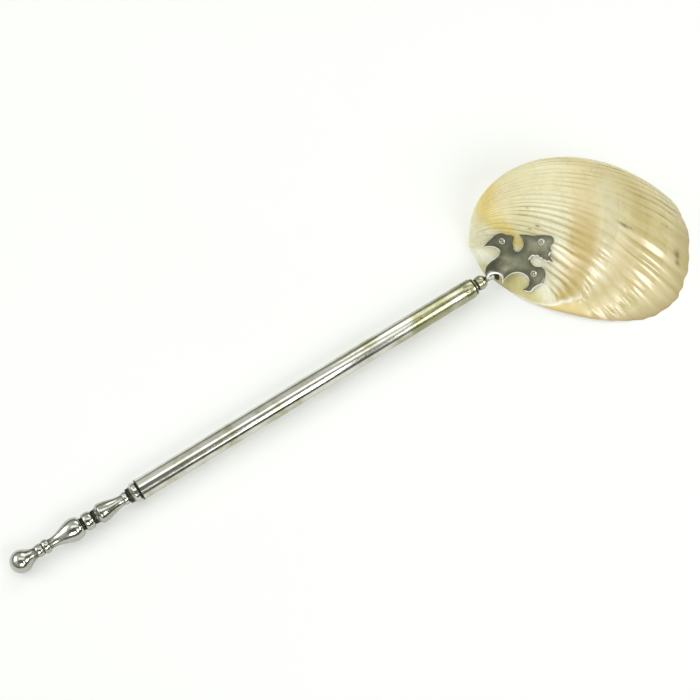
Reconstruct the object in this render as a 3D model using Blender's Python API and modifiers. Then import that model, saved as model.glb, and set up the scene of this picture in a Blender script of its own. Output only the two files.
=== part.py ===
"""Caviar spoon: a ribbed shell bowl, riveted through a leaf-shaped plate to a turned tubular handle.

The spoon lies face down, as it is laid on a table: the rim of the bowl and the ball of the finial
touch z = 0, and +X runs along the handle towards the bowl.
"""

import math

import bmesh
import bpy
from mathutils import Matrix, Vector
from mathutils.bvhtree import BVHTree

MM = 0.001

# Fits
SEAT_GAP = 0.3 * MM  # left between two faces that touch
PIN_GAP = 0.3 * MM  # round a tenon or a spigot
RIVET_GAP = 0.2 * MM  # round a rivet's shank

# Finial knop, from its free end: pear ball, two rings, baluster, bead
BALL_RADIUS = 3.1 * MM
PEAR_LENGTH = 4.2 * MM  # from the ball's centre to the first ring
PEAR_NECK_RADIUS = 1.4 * MM
RING_LENGTH = 1.9 * MM
FIRST_RING_RADIUS = 1.75 * MM
SECOND_RING_RADIUS = 1.95 * MM
STEP_LENGTH = 0.6 * MM
BALUSTER_LENGTH = 8.8 * MM
BALUSTER_FOOT_RADIUS = 1.35 * MM
BALUSTER_RADIUS = 3.1 * MM
BALUSTER_END_RADIUS = 1.9 * MM
BALUSTER_WIDE_AT = 0.76  # share of its length where it is widest
GROOVE_LENGTH = 0.7 * MM
BEAD_LENGTH = 2.5 * MM
BEAD_RADIUS = 2.45 * MM

# Vase: the second turning of the finial
VASE_BAND_LENGTH = 0.8 * MM
VASE_BAND_RADIUS = 1.95 * MM
VASE_LENGTH = 8.1 * MM
VASE_RADIUS = 2.7 * MM
VASE_END_RADIUS = 1.45 * MM
VASE_WIDE_AT = 0.16
VASE_RING_LENGTH = 1.2 * MM
VASE_RING_RADIUS = 1.8 * MM

# Collar that closes the tube
COLLAR_BAND_LENGTH = 0.8 * MM
COLLAR_BAND_RADIUS = 2.1 * MM
COLLAR_LENGTH = 2.0 * MM
COLLAR_RADIUS = 2.75 * MM
COLLAR_SWELL_SHARE = 0.5  # share of its length that swells

# Tube
TUBE_LENGTH = 107.5 * MM
TUBE_RADIUS = 2.95 * MM
TUBE_WALL = 0.45 * MM

# Neck between the tube and the bowl: flange, groove, ball, waist and flare
NECK_FLANGE_LENGTH = 0.7 * MM
NECK_FLANGE_RADIUS = 2.5 * MM
NECK_GROOVE_LENGTH = 0.5 * MM
NECK_GROOVE_RADIUS = 1.6 * MM
NECK_BALL_RADIUS = 2.1 * MM
NECK_WAIST_RADIUS = 0.85 * MM
FLARE_LENGTH = 3.4 * MM
FLARE_RADIUS = 1.95 * MM

# Joints inside the handle
TENON_RADIUS = 0.8 * MM
TENON_LENGTH = 2.6 * MM
SPIGOT_LENGTH = 6.0 * MM

# Shell. Its outside is the coiled surface of a bivalve: the margin turned about the hinge line while
# it shrinks towards the beak. The reaches run from the beak to the margin, at even angles across the
# fan from one end of the hinge to the other.
MARGIN_REACH = [size * MM for size in (10.2, 15.6, 31.0, 53.0, 58.7, 55.4, 34.5, 22.3, 13.0)]
FAN_END = math.radians(90)
COIL = 0.98  # how fast the shell shrinks towards the beak, per radian of turn
CROWN_RISE = 1.01  # height of the coil for its reach
FAR_FULLNESS = 0.92  # how much fuller the far flank is than the near one
LEAN_FORWARD = -0.14  # lean of the crown for its height, along and across the shell
LEAN_ACROSS = 0.33
RIBS_PER_FAN = 48  # as many as would fill the fan from hinge to hinge
RIB_HEIGHT = 0.55 * MM
RIBS_START = math.radians(-56)
RIBS_END = math.radians(84)
HINGE_BACK = 4.3 * MM  # how far the flat beside the beak is carried back behind the hinge, and aside
HINGE_ASIDE = 2.2 * MM
HINGE_BACK_END = math.radians(-30)
EDGE_WALL = 1.3 * MM
HINGE_WALL = 3.3 * MM
SIDE_WALL = 1.3 * MM
CROWN_WALL = 1.4 * MM

# Place of the beak from the middle of the neck's ball, and the turn of the shell on the handle
BEAK_FORWARD = 10.7 * MM
BEAK_ACROSS = 11.6 * MM
SHELL_TURN = math.radians(-37)
NECK_HEIGHT = 4.6 * MM  # least height of the middle of the neck's ball above the table

# Leaf plate. Its flat blank leans towards the near side, so that the heel can wrap down beside the beak.
# The outline is in mm on that blank from the end of the neck's flare. A corner is where two edges meet.
LEAF_TURN = math.radians(-34)
LEAF_LEAN = math.radians(27)
PLATE_THICKNESS = 0.7 * MM
TONGUE = [
    (1.7, -2.4), (1.2, -0.7), (-1.4, -0.5), (-2.8, -1.8), (-3.0, 0.1), (-2.5, 1.2), (-1.0, 2.1), (1.1, 3.9),
]
HEEL_LOBE = [
    (1.6, 5.9), (0.3, 7.5), (-2.4, 8.4), (-1.5, 9.5), (1.0, 11.1),
    (2.8, 10.5), (4.4, 10.2), (4.4, 8.2), (5.5, 5.9),
]
TIP_LOBE = [
    (7.0, 6.7), (7.4, 8.5), (6.1, 10.6), (8.0, 10.4), (10.0, 10.1), (13.4, 10.1), (15.3, 9.0), (14.6, 7.3),
    (14.9, 5.5), (15.2, 3.0), (13.2, 3.3), (11.3, 4.7), (9.7, 4.6), (9.2, 3.5), (10.9, 1.7),
]
SIDE_LOBE = [
    (12.6, 1.5), (13.5, 0.0), (13.1, -2.8), (11.1, -3.9), (9.9, -5.1), (7.8, -4.5),
    (9.2, -3.6), (9.2, -1.7), (7.9, -0.2), (5.7, 0.3), (3.5, -0.4),
]
CORNERS = [TONGUE[0], TONGUE[3], HEEL_LOBE[2], TIP_LOBE[2], TIP_LOBE[9], SIDE_LOBE[2], SIDE_LOBE[5]]
ARCH_SPREAD = 0.7  # how soon the tongue's arch falls away beside the flare
ARCH_BLEND = 1.2 * MM  # rounding between the arch and the bed on the shell

# Rivets, and the burrs inside the bowl that they are closed over
RIVET_RADIUS = 0.5 * MM
RIVET_HEAD_RADIUS = 0.95 * MM
RIVET_HEAD_HEIGHT = 0.4 * MM
RIVET_TAIL_RADIUS = 0.8 * MM
RIVET_TAIL_HEIGHT = 0.4 * MM
BURR_RADIUS = 1.5 * MM
BURR_THICKNESS = 0.5 * MM
RIVET_PLACES = {"heel": (1.9, 9.2), "tip": (12.1, 8.6), "side": (10.6, 0.1)}  # in mm, as the outline

# Fineness of the faceting
TURNED_SIDES = 16
RIVET_SIDES = 12
CURVE_STEPS = 5
STEPS_PER_RIB = 3
COIL_STEPS = 16
INSIDE_FAN_STEPS = 48
INSIDE_COIL_STEPS = 14
OUTLINE_STEPS = 3
PLATE_CELL = 0.8 * MM
FLARE_PROBES = 9

HALF_TURN = math.pi
SILVER = (0.55, 0.54, 0.50)
OXIDISED = (0.26, 0.26, 0.24)
PEARL = (0.84, 0.76, 0.56)


# Scene, collections and materials
for leftover in list(bpy.data.objects):
    bpy.data.objects.remove(leftover, do_unlink=True)
parts = bpy.data.collections.new("caviar_spoon")
helpers = bpy.data.collections.new("cutters")
for collection in (parts, helpers):
    bpy.context.scene.collection.children.link(collection)


def finish(name, colour, metallic, roughness):
    material = bpy.data.materials.new(name)
    material.use_nodes = True
    shader = material.node_tree.nodes["Principled BSDF"]
    shader.inputs["Base Color"].default_value = (*colour, 1.0)
    shader.inputs["Metallic"].default_value = metallic
    shader.inputs["Roughness"].default_value = roughness
    return material


def add_part(name, mesh, parent, material):
    part = bpy.data.objects.new(name, mesh)
    part.parent = parent
    part.data.materials.append(material)
    parts.objects.link(part)
    return part


def add_helper(name, mesh, parent=None):
    helper = bpy.data.objects.new(name, mesh)
    helper.parent = parent
    helper.hide_render = True
    helper.display_type = "WIRE"
    helpers.objects.link(helper)
    return helper


def add_empty(name, parent, matrix):
    empty = bpy.data.objects.new(name, None)
    empty.parent = parent
    empty.matrix_local = matrix
    parts.objects.link(empty)
    return empty


def cut(part, cutter):
    boolean = part.modifiers.new(cutter.name, "BOOLEAN")
    boolean.operation = "DIFFERENCE"
    boolean.object = cutter


def evaluated_mesh(thing):
    bpy.context.view_layer.update()
    graph = bpy.context.evaluated_depsgraph_get()
    return bpy.data.meshes.new_from_object(thing.evaluated_get(graph))


# Turned pieces. A profile is a list of (station along the axis, radius), from the finial's end.
def turned_mesh(name, profile):
    mesh = bpy.data.meshes.new(name)
    points = [(radius, 0.0, -station) for station, radius in profile]
    edges = [(i, i + 1) for i in range(len(points) - 1)]
    mesh.from_pydata(points, edges, [])
    return mesh


def turn(part, sides):
    screw = part.modifiers.new("turned", "SCREW")
    screw.axis = "Z"
    screw.steps = sides
    screw.render_steps = sides
    screw.use_merge_vertices = True
    screw.merge_threshold = 0.01 * MM
    screw.use_smooth_shade = True


def swell(start, from_radius, end, to_radius):
    """An S-shaped change of radius."""
    run = []
    for step in range(CURVE_STEPS + 1):
        share = step / CURVE_STEPS
        ease = 0.5 - 0.5 * math.cos(math.pi * share)
        run.append((start + share * (end - start), from_radius + ease * (to_radius - from_radius)))
    return run


def round_over(start, from_radius, end, to_radius):
    """A quarter round that leaves the first radius level and arrives at the second steeply."""
    run = []
    for step in range(1, CURVE_STEPS + 1):
        angle = 0.5 * math.pi * step / CURVE_STEPS
        station = start + (end - start) * math.sin(angle)
        run.append((station, to_radius + (from_radius - to_radius) * math.cos(angle)))
    return run


def ring(start, length, foot, radius):
    """A half-round ring standing on a foot."""
    run = []
    for step in range(CURVE_STEPS + 1):
        angle = math.pi * step / CURVE_STEPS
        station = start + 0.5 * length * (1.0 - math.cos(angle))
        run.append((station, foot + (radius - foot) * math.sin(angle)))
    return run


def ball(centre, radius, from_radius, to_radius):
    """Part of a ball, between the radii where it starts and ends."""
    first = math.asin(from_radius / radius)
    last = math.pi - math.asin(to_radius / radius)
    run = []
    for step in range(2 * CURVE_STEPS + 1):
        angle = first + (last - first) * step / (2 * CURVE_STEPS)
        run.append((centre - radius * math.cos(angle), radius * math.sin(angle)))
    return run


def socket(mouth):
    """A blind hole for a tenon, from its floor on the axis to its mouth. The gap is left at its floor."""
    floor = mouth + TENON_LENGTH
    bore = TENON_RADIUS + PIN_GAP
    return [(floor, 0.0), (floor, bore), (mouth, bore)]


def tenon(root):
    end = root + TENON_LENGTH
    return [(root, TENON_RADIUS), (end, TENON_RADIUS), (end, 0.0)]


# Stations along the handle, from the centre of the finial's ball
rings_start = PEAR_LENGTH
second_ring_start = rings_start + RING_LENGTH
step_start = second_ring_start + RING_LENGTH
baluster_start = step_start + STEP_LENGTH
baluster_wide = baluster_start + BALUSTER_WIDE_AT * BALUSTER_LENGTH
groove_start = baluster_start + BALUSTER_LENGTH
bead_start = groove_start + GROOVE_LENGTH
knop_end = bead_start + BEAD_LENGTH
vase_start = knop_end + SEAT_GAP
vase_swell = vase_start + VASE_BAND_LENGTH
vase_wide = vase_swell + VASE_WIDE_AT * VASE_LENGTH
vase_ring_start = vase_swell + VASE_LENGTH
vase_end = vase_ring_start + VASE_RING_LENGTH
collar_start = vase_end + SEAT_GAP
collar_swell = collar_start + COLLAR_BAND_LENGTH
collar_wide = collar_swell + COLLAR_SWELL_SHARE * COLLAR_LENGTH
collar_end = collar_swell + COLLAR_LENGTH
tube_start = collar_end + SEAT_GAP
tube_end = tube_start + TUBE_LENGTH
neck_start = tube_end + SEAT_GAP
neck_groove = neck_start + NECK_FLANGE_LENGTH
neck_ball_start = neck_groove + NECK_GROOVE_LENGTH
neck_ball_centre = neck_ball_start + math.sqrt(NECK_BALL_RADIUS**2 - NECK_GROOVE_RADIUS**2)
flare_start = neck_ball_centre + math.sqrt(NECK_BALL_RADIUS**2 - NECK_WAIST_RADIUS**2)
flare_end = flare_start + FLARE_LENGTH
spigot_radius = TUBE_RADIUS - TUBE_WALL - PIN_GAP

knop_profile = (
    ball(0.0, BALL_RADIUS, 0.0, BALL_RADIUS)
    + swell(0.0, BALL_RADIUS, rings_start, PEAR_NECK_RADIUS)[1:]
    + ring(rings_start, RING_LENGTH, PEAR_NECK_RADIUS, FIRST_RING_RADIUS)[1:]
    + ring(second_ring_start, RING_LENGTH, PEAR_NECK_RADIUS, SECOND_RING_RADIUS)[1:]
    + swell(baluster_start, BALUSTER_FOOT_RADIUS, baluster_wide, BALUSTER_RADIUS)
    + round_over(baluster_wide, BALUSTER_RADIUS, groove_start, BALUSTER_END_RADIUS)
    + ring(bead_start, BEAD_LENGTH, BALUSTER_END_RADIUS, BEAD_RADIUS)
    + tenon(knop_end)
)
vase_profile = (
    socket(vase_start)
    + [(vase_start, VASE_BAND_RADIUS)]
    + swell(vase_swell, VASE_BAND_RADIUS, vase_wide, VASE_RADIUS)
    + swell(vase_wide, VASE_RADIUS, vase_ring_start, VASE_END_RADIUS)[1:]
    + ring(vase_ring_start, VASE_RING_LENGTH, VASE_END_RADIUS, VASE_RING_RADIUS)[1:]
    + tenon(vase_end)
)
collar_profile = (
    socket(collar_start)
    + [(collar_start, COLLAR_BAND_RADIUS)]
    + swell(collar_swell, COLLAR_BAND_RADIUS, collar_wide, COLLAR_RADIUS)
    + [(collar_end, COLLAR_RADIUS), (collar_end, spigot_radius)]
    + [(collar_end + SPIGOT_LENGTH, spigot_radius), (collar_end + SPIGOT_LENGTH, 0.0)]
)
tube_profile = [
    (tube_start, TUBE_RADIUS - TUBE_WALL),
    (tube_start, TUBE_RADIUS),
    (tube_end, TUBE_RADIUS),
    (tube_end, TUBE_RADIUS - TUBE_WALL),
    (tube_start, TUBE_RADIUS - TUBE_WALL),
]
flare_profile = [
    (station, NECK_WAIST_RADIUS + FLARE_RADIUS - radius)
    for station, radius in round_over(flare_start, FLARE_RADIUS, flare_end - SEAT_GAP, NECK_WAIST_RADIUS)
]
neck_profile = (
    [(neck_start - SPIGOT_LENGTH, 0.0), (neck_start - SPIGOT_LENGTH, spigot_radius)]
    + [(neck_start, spigot_radius)]
    + ring(neck_start, NECK_FLANGE_LENGTH, NECK_GROOVE_RADIUS, NECK_FLANGE_RADIUS)
    + ball(neck_ball_centre, NECK_BALL_RADIUS, NECK_GROOVE_RADIUS, NECK_WAIST_RADIUS)
    + flare_profile
    + [(flare_end, FLARE_RADIUS), (flare_end, 0.0)]
)


# Shell surface
def smooth_step(low, high, value):
    share = min(max((value - low) / (high - low), 0.0), 1.0)
    return share * share * (3.0 - 2.0 * share)


def margin_reach(fan):
    """Distance from the beak to the margin at this angle of the fan: a smooth curve through the reaches."""
    last = len(MARGIN_REACH) - 1
    place = 0.5 * (fan / FAN_END + 1.0) * last
    i = min(int(place), last - 1)
    share = place - i
    before = MARGIN_REACH[max(i - 1, 0)]
    here = MARGIN_REACH[i]
    there = MARGIN_REACH[i + 1]
    after = MARGIN_REACH[min(i + 2, last)]
    leave = 0.5 * (there - before)
    arrive = 0.5 * (after - here)
    square = share * share
    cube = square * share
    return (
        (2 * cube - 3 * square + 1) * here
        + (cube - 2 * square + share) * leave
        + (3 * square - 2 * cube) * there
        + (cube - square) * arrive
    )


def rib_ground(fan):
    """1 where the fan is ribbed, falling to 0 on the smooth ground at both ends of the hinge."""
    pitch = 2.0 * FAN_END / RIBS_PER_FAN
    start = smooth_step(RIBS_START, RIBS_START + 2.0 * pitch, fan)
    return start * (1.0 - smooth_step(RIBS_END - 2.0 * pitch, RIBS_END, fan))


def ribbed(fan):
    return RIB_HEIGHT * rib_ground(fan) * (0.5 - 0.5 * math.cos(math.pi * RIBS_PER_FAN * fan / FAN_END))


def crest(fan):
    return RIB_HEIGHT * rib_ground(fan)


def plain(fan):
    return 0.0


def shell_point(fan, coil, relief):
    """A point of the shell's outside: fan is the angle across it, coil the angle turned from its margin."""
    growth = math.exp(-COIL * coil)
    arm = growth * (margin_reach(fan) + relief(fan))
    fullness = 1.0 + FAR_FULLNESS * max(math.sin(fan), 0.0) ** 2
    height = CROWN_RISE * fullness * arm * math.cos(fan) * math.sin(coil)
    carried = (1.0 - growth) * (1.0 - smooth_step(-FAN_END, HINGE_BACK_END, fan))
    return Vector((
        arm * math.cos(fan) * math.cos(coil) + LEAN_FORWARD * height - HINGE_BACK * carried,
        arm * math.sin(fan) + LEAN_ACROSS * height - HINGE_ASIDE * carried,
        height,
    ))


def wrapped_grid(fan_steps, coil_steps, place):
    """A grid whose points are placed by their fan angle and coil angle."""
    grid = bmesh.new()
    bmesh.ops.create_grid(grid, x_segments=fan_steps, y_segments=coil_steps, size=1.0)
    for vertex in grid.verts:
        vertex.co = place(FAN_END * vertex.co.x, 0.5 * HALF_TURN * (vertex.co.y + 1.0))
    return grid


def inside_point(fan, coil):
    """The outside drawn in towards the bowl's middle, by the walls at the edge, hinge, sides and crown."""
    point = shell_point(fan, coil, plain)
    along = 1.0 - (EDGE_WALL + HINGE_WALL) / shell_length
    across = 1.0 - 2.0 * SIDE_WALL / (shell_far - shell_near)
    up = 1.0 - CROWN_WALL / shell_height
    middle = Vector((HINGE_WALL / (1.0 - along), 0.5 * (shell_far + shell_near), 0.0))
    drawn = point - middle
    return middle + Vector((along * drawn.x, across * drawn.y, up * drawn.z))


fan_angles = [FAN_END * (2.0 * step / INSIDE_FAN_STEPS - 1.0) for step in range(INSIDE_FAN_STEPS + 1)]
margin = [shell_point(fan, 0.0, plain) for fan in fan_angles]
shell_length = max(point.x for point in margin)
shell_near = min(point.y for point in margin)
shell_far = max(point.y for point in margin)
coil_angles = [HALF_TURN * step / INSIDE_COIL_STEPS for step in range(INSIDE_COIL_STEPS + 1)]
shell_height = max(shell_point(fan, coil, plain).z for fan in fan_angles for coil in coil_angles)

shell_seat = Matrix.Translation((neck_ball_centre + BEAK_FORWARD, BEAK_ACROSS, 0.0)) @ Matrix.Rotation(
    SHELL_TURN, 4, "Z"
)
fan_steps = STEPS_PER_RIB * RIBS_PER_FAN


def placed_tree(grid, clear):
    """A search tree of the grid as it lies in the spoon, moved out by a clearance."""
    grid.transform(shell_seat)
    grid.normal_update()
    for vertex, normal in [(vertex, vertex.normal.copy()) for vertex in grid.verts]:
        vertex.co += clear * normal
    tree = BVHTree.FromBMesh(grid)
    grid.free()
    return tree


seat_tree = placed_tree(
    wrapped_grid(fan_steps, COIL_STEPS, lambda fan, coil: shell_point(fan, coil, crest)), SEAT_GAP
)
inside_tree = placed_tree(wrapped_grid(INSIDE_FAN_STEPS, INSIDE_COIL_STEPS, inside_point), 0.0)


def seat_level(frame, x, y):
    """Level in this frame of a piece on the rib crests at (x, y), and far below where no shell is there."""
    far = 2.0 * shell_length
    down = frame.to_3x3() @ Vector((0.0, 0.0, -1.0))
    hit = seat_tree.ray_cast(frame @ Vector((x, y, far)), down)[0]
    return (frame.inverted() @ hit).z if hit else -far


# The handle rises just enough for its neck to clear the shell's edge and for its turnings to clear the table
rise_per_length = (NECK_HEIGHT - BALL_RADIUS) / neck_ball_centre
for station, radius in flare_profile + [(flare_end, FLARE_RADIUS)]:
    for probe in range(FLARE_PROBES):
        side = 2.0 * probe / (FLARE_PROBES - 1) - 1.0
        drop = radius * math.sqrt(1.0 - side * side)
        height = seat_level(Matrix.Identity(4), station, side * radius) + drop
        rise_per_length = max(rise_per_length, (height - BALL_RADIUS) / station)
low_points = ((baluster_wide, BALUSTER_RADIUS), (vase_wide, VASE_RADIUS), (tube_start, TUBE_RADIUS))
for station, radius in low_points:
    rise_per_length = max(rise_per_length, (radius - BALL_RADIUS) / station)
rake = math.atan(rise_per_length)
print(f"handle rises {math.degrees(rake):.2f} degrees")


def axis_height(x):
    return BALL_RADIUS + x * rise_per_length


# Root, handle and bowl
spoon = add_empty("spoon", None, Matrix.Identity(4))
handle_matrix = Matrix.Translation((0.0, 0.0, BALL_RADIUS)) @ Matrix.Rotation(-0.5 * math.pi - rake, 4, "Y")
handle = add_empty("handle", spoon, handle_matrix)
for name, profile in (
    ("finial_knop", knop_profile),
    ("finial_baluster", vase_profile),
    ("finial_collar", collar_profile),
    ("handle_tube", tube_profile),
    ("neck", neck_profile),
):
    turning = add_part(name, turned_mesh(name, profile), handle, finish(name, SILVER, 1.0, 0.25))
    turn(turning, TURNED_SIDES)


def build_shell():
    shell = wrapped_grid(fan_steps, COIL_STEPS, lambda fan, coil: shell_point(fan, coil, ribbed))
    inside = wrapped_grid(INSIDE_FAN_STEPS, INSIDE_COIL_STEPS, inside_point)
    bmesh.ops.reverse_faces(inside, faces=inside.faces)
    inside_mesh = bpy.data.meshes.new("shell_inside")
    inside.to_mesh(inside_mesh)
    inside.free()
    shell.from_mesh(inside_mesh)
    bpy.data.meshes.remove(inside_mesh)
    rims = [edge for edge in shell.edges if edge.is_boundary]
    bmesh.ops.triangle_fill(shell, use_beauty=True, edges=rims, normal=(0.0, 0.0, -1.0))
    bmesh.ops.recalc_face_normals(shell, faces=shell.faces)
    mesh = bpy.data.meshes.new("shell_bowl")
    shell.to_mesh(mesh)
    shell.free()
    mesh.shade_smooth()
    return mesh


bowl = add_part("shell_bowl", build_shell(), spoon, finish("shell_bowl", PEARL, 0.0, 0.25))
bowl.matrix_local = shell_seat


# Plate: cut flat from its outline, then bent over the rib crests and raised into an arch over the flare
leaf_frame = (
    Matrix.Translation((flare_end, 0.0, axis_height(flare_end)))
    @ Matrix.Rotation(LEAF_TURN, 4, "Z")
    @ Matrix.Rotation(LEAF_LEAN, 4, "X")
)
along_handle = leaf_frame.inverted().to_3x3() @ Vector((math.cos(rake), 0.0, math.sin(rake)))


def bed_level(x, y):
    """Level of the plate's underside on its leaning blank."""
    on_shell = seat_level(leaf_frame, x, y)
    seen = along_handle.to_2d().length
    aside = (along_handle.x * y - along_handle.y * x) / seen
    axis_level = (along_handle.x * x + along_handle.y * y) * along_handle.z / seen**2
    arch_radius = FLARE_RADIUS + SEAT_GAP
    over_flare = axis_level + arch_radius / seen * (1.0 - ARCH_SPREAD * (aside / arch_radius) ** 2)
    return 0.5 * (on_shell + over_flare + math.hypot(on_shell - over_flare, ARCH_BLEND))


def bed_normal(x, y):
    reach = 0.5 * PLATE_CELL
    slope_x = (bed_level(x + reach, y) - bed_level(x - reach, y)) / (2.0 * reach)
    slope_y = (bed_level(x, y + reach) - bed_level(x, y - reach)) / (2.0 * reach)
    return Vector((-slope_x, -slope_y, 1.0)).normalized()


def outline_blank():
    """The leaf's outline as a flat solid, taller than the plate."""
    curve = bpy.data.curves.new("leaf_outline", "CURVE")
    curve.dimensions = "2D"
    curve.fill_mode = "BOTH"
    curve.resolution_u = OUTLINE_STEPS
    curve.extrude = PLATE_THICKNESS
    outline = TONGUE + HEEL_LOBE + TIP_LOBE + SIDE_LOBE
    spline = curve.splines.new("BEZIER")
    spline.bezier_points.add(len(outline) - 1)
    spline.use_cyclic_u = True
    for point, place in zip(spline.bezier_points, outline):
        point.co = (place[0] * MM, place[1] * MM, 0.0)
        handles = "VECTOR" if place in CORNERS else "AUTO"
        point.handle_left_type = handles
        point.handle_right_type = handles
    drawn = add_helper("leaf_outline", curve)
    mesh = evaluated_mesh(drawn)
    bpy.data.objects.remove(drawn)
    welded = bmesh.new()
    welded.from_mesh(mesh)
    bmesh.ops.remove_doubles(welded, verts=welded.verts, dist=0.01 * MM)
    bmesh.ops.recalc_face_normals(welded, faces=welded.faces)
    welded.to_mesh(mesh)
    welded.free()
    return add_helper("leaf_blank", mesh)


def sheet_over(blank):
    """A sheet of even cells as thick as the plate, in line with the handle and large enough for the blank."""
    low = Vector(blank.bound_box[0]).to_2d()
    high = Vector(blank.bound_box[6]).to_2d()
    half = 0.5 * (high - low).length + PLATE_CELL
    cells = math.ceil(2.0 * half / PLATE_CELL)
    in_line = Matrix.Rotation(math.atan2(along_handle.y, along_handle.x), 4, "Z")
    grid = bmesh.new()
    middle = Matrix.Translation((0.5 * (low + high)).to_3d())
    bmesh.ops.create_grid(grid, x_segments=cells, y_segments=cells, size=half, matrix=middle @ in_line)
    mesh = bpy.data.meshes.new("leaf_sheet")
    grid.to_mesh(mesh)
    grid.free()
    sheet = add_helper("leaf_sheet", mesh)
    thicken = sheet.modifiers.new("thickness", "SOLIDIFY")
    thicken.thickness = PLATE_THICKNESS
    thicken.offset = 0.0
    saw = sheet.modifiers.new("outline", "BOOLEAN")
    saw.operation = "INTERSECT"
    saw.object = blank
    return sheet


def build_plate():
    sheet = sheet_over(outline_blank())
    leaf = bmesh.new()
    flat = evaluated_mesh(sheet)
    leaf.from_mesh(flat)
    bpy.data.meshes.remove(flat)
    bpy.data.objects.remove(sheet)
    bmesh.ops.triangulate(leaf, faces=leaf.faces)
    for vertex in leaf.verts:
        x, y, level = vertex.co
        lift = bed_normal(x, y) * PLATE_THICKNESS if level > 0.0 else Vector()
        vertex.co = Vector((x, y, bed_level(x, y))) + lift
    bmesh.ops.recalc_face_normals(leaf, faces=leaf.faces)
    mesh = bpy.data.meshes.new("mount_plate")
    leaf.to_mesh(mesh)
    leaf.free()
    return mesh


plate = add_part("mount_plate", build_plate(), spoon, finish("mount_plate", OXIDISED, 1.0, 0.4))
plate.matrix_local = leaf_frame


# Rivets stand square to the plate. Their stations run inwards from its underside.
def wall_depth(seat):
    """How far in the bowl's hollow starts under a burr, at its middle and round its rim."""
    inwards = seat.to_3x3() @ Vector((0.0, 0.0, -1.0))
    probes = [Vector()]
    for step in range(RIVET_SIDES):
        angle = 2.0 * math.pi * step / RIVET_SIDES
        probes.append(BURR_RADIUS * Vector((math.cos(angle), math.sin(angle), 0.0)))
    hits = [inside_tree.ray_cast(seat @ probe, inwards)[3] for probe in probes]
    return max(hit for hit in hits if hit)


def bore_cutter(name, top, bottom, seat):
    """A round cutter between two stations."""
    solid = bmesh.new()
    bmesh.ops.create_cone(
        solid,
        cap_ends=True,
        segments=RIVET_SIDES,
        radius1=RIVET_RADIUS + RIVET_GAP,
        radius2=RIVET_RADIUS + RIVET_GAP,
        depth=bottom - top,
        matrix=Matrix.Translation((0.0, 0.0, -0.5 * (top + bottom))),
    )
    mesh = bpy.data.meshes.new(name)
    solid.to_mesh(mesh)
    solid.free()
    cutter = add_helper(name, mesh, spoon)
    cutter.matrix_local = seat
    return cutter


for name, (x, y) in RIVET_PLACES.items():
    foot = Vector((x * MM, y * MM, bed_level(x * MM, y * MM)))
    square = bed_normal(foot.x, foot.y).to_track_quat("Z", "Y").to_matrix().to_4x4()
    seat = leaf_frame @ Matrix.Translation(foot) @ square
    head_seat = -(PLATE_THICKNESS + SEAT_GAP)
    head_top = head_seat - RIVET_HEAD_HEIGHT
    burr_top = wall_depth(seat) + SEAT_GAP
    burr_end = burr_top + BURR_THICKNESS
    tail_seat = burr_end + SEAT_GAP
    tail_end = tail_seat + RIVET_TAIL_HEIGHT
    bore = RIVET_RADIUS + RIVET_GAP
    rivet_profile = (
        [(head_top, 0.0)]
        + round_over(head_seat, 0.0, head_top, RIVET_HEAD_RADIUS)
        + [(head_seat, RIVET_RADIUS), (tail_seat, RIVET_RADIUS), (tail_seat, RIVET_TAIL_RADIUS)]
        + [(tail_end, RIVET_RADIUS), (tail_end, 0.0)]
    )
    burr_profile = [
        (burr_top, bore),
        (burr_top, BURR_RADIUS),
        (burr_end, BURR_RADIUS),
        (burr_end, bore),
        (burr_top, bore),
    ]
    for piece, profile in ((f"rivet_{name}", rivet_profile), (f"burr_{name}", burr_profile)):
        turned = add_part(piece, turned_mesh(piece, profile), spoon, finish(piece, SILVER, 1.0, 0.3))
        turned.matrix_local = seat
        turn(turned, RIVET_SIDES)
    cutter = bore_cutter(f"bore_{name}", head_top, tail_end, seat)
    cut(plate, cutter)
    cut(bowl, cutter)


def centre_on_origin():
    """Moves the spoon so that the bottom of its box is centred on the origin."""
    bpy.context.view_layer.update()
    graph = bpy.context.evaluated_depsgraph_get()
    corners = []
    for part in parts.objects:
        if part.type == "MESH":
            solid = part.evaluated_get(graph)
            mesh = solid.to_mesh()
            corners += [solid.matrix_world @ vertex.co for vertex in mesh.vertices]
            solid.to_mesh_clear()
    low = [min(corner[axis] for corner in corners) for axis in range(3)]
    high = [max(corner[axis] for corner in corners) for axis in range(3)]
    spoon.location = (-0.5 * (low[0] + high[0]), -0.5 * (low[1] + high[1]), -low[2])
    print("size, mm:", [round(1000 * (top - bottom), 1) for bottom, top in zip(low, high)])


centre_on_origin()
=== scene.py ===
# %% [markdown]
# # A caviar spoon: a polished shell on a turned silver handle
# The spoon lies face down on a white table. Its bowl is one half of a real ribbed shell, ground and
# polished. A leaf cut from sheet silver is riveted over the shell's beak, and a tube with small
# turnings at both ends is the handle. The solid model already has every piece in its place. This
# script remakes each one more finely over it and gives it the surface that its maker left.

# %% Load the solid model
import math

import bmesh
import bpy
import numpy as np
from mathutils import Matrix, Vector
from mathutils.bvhtree import BVHTree
from mathutils.geometry import delaunay_2d_cdt


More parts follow.
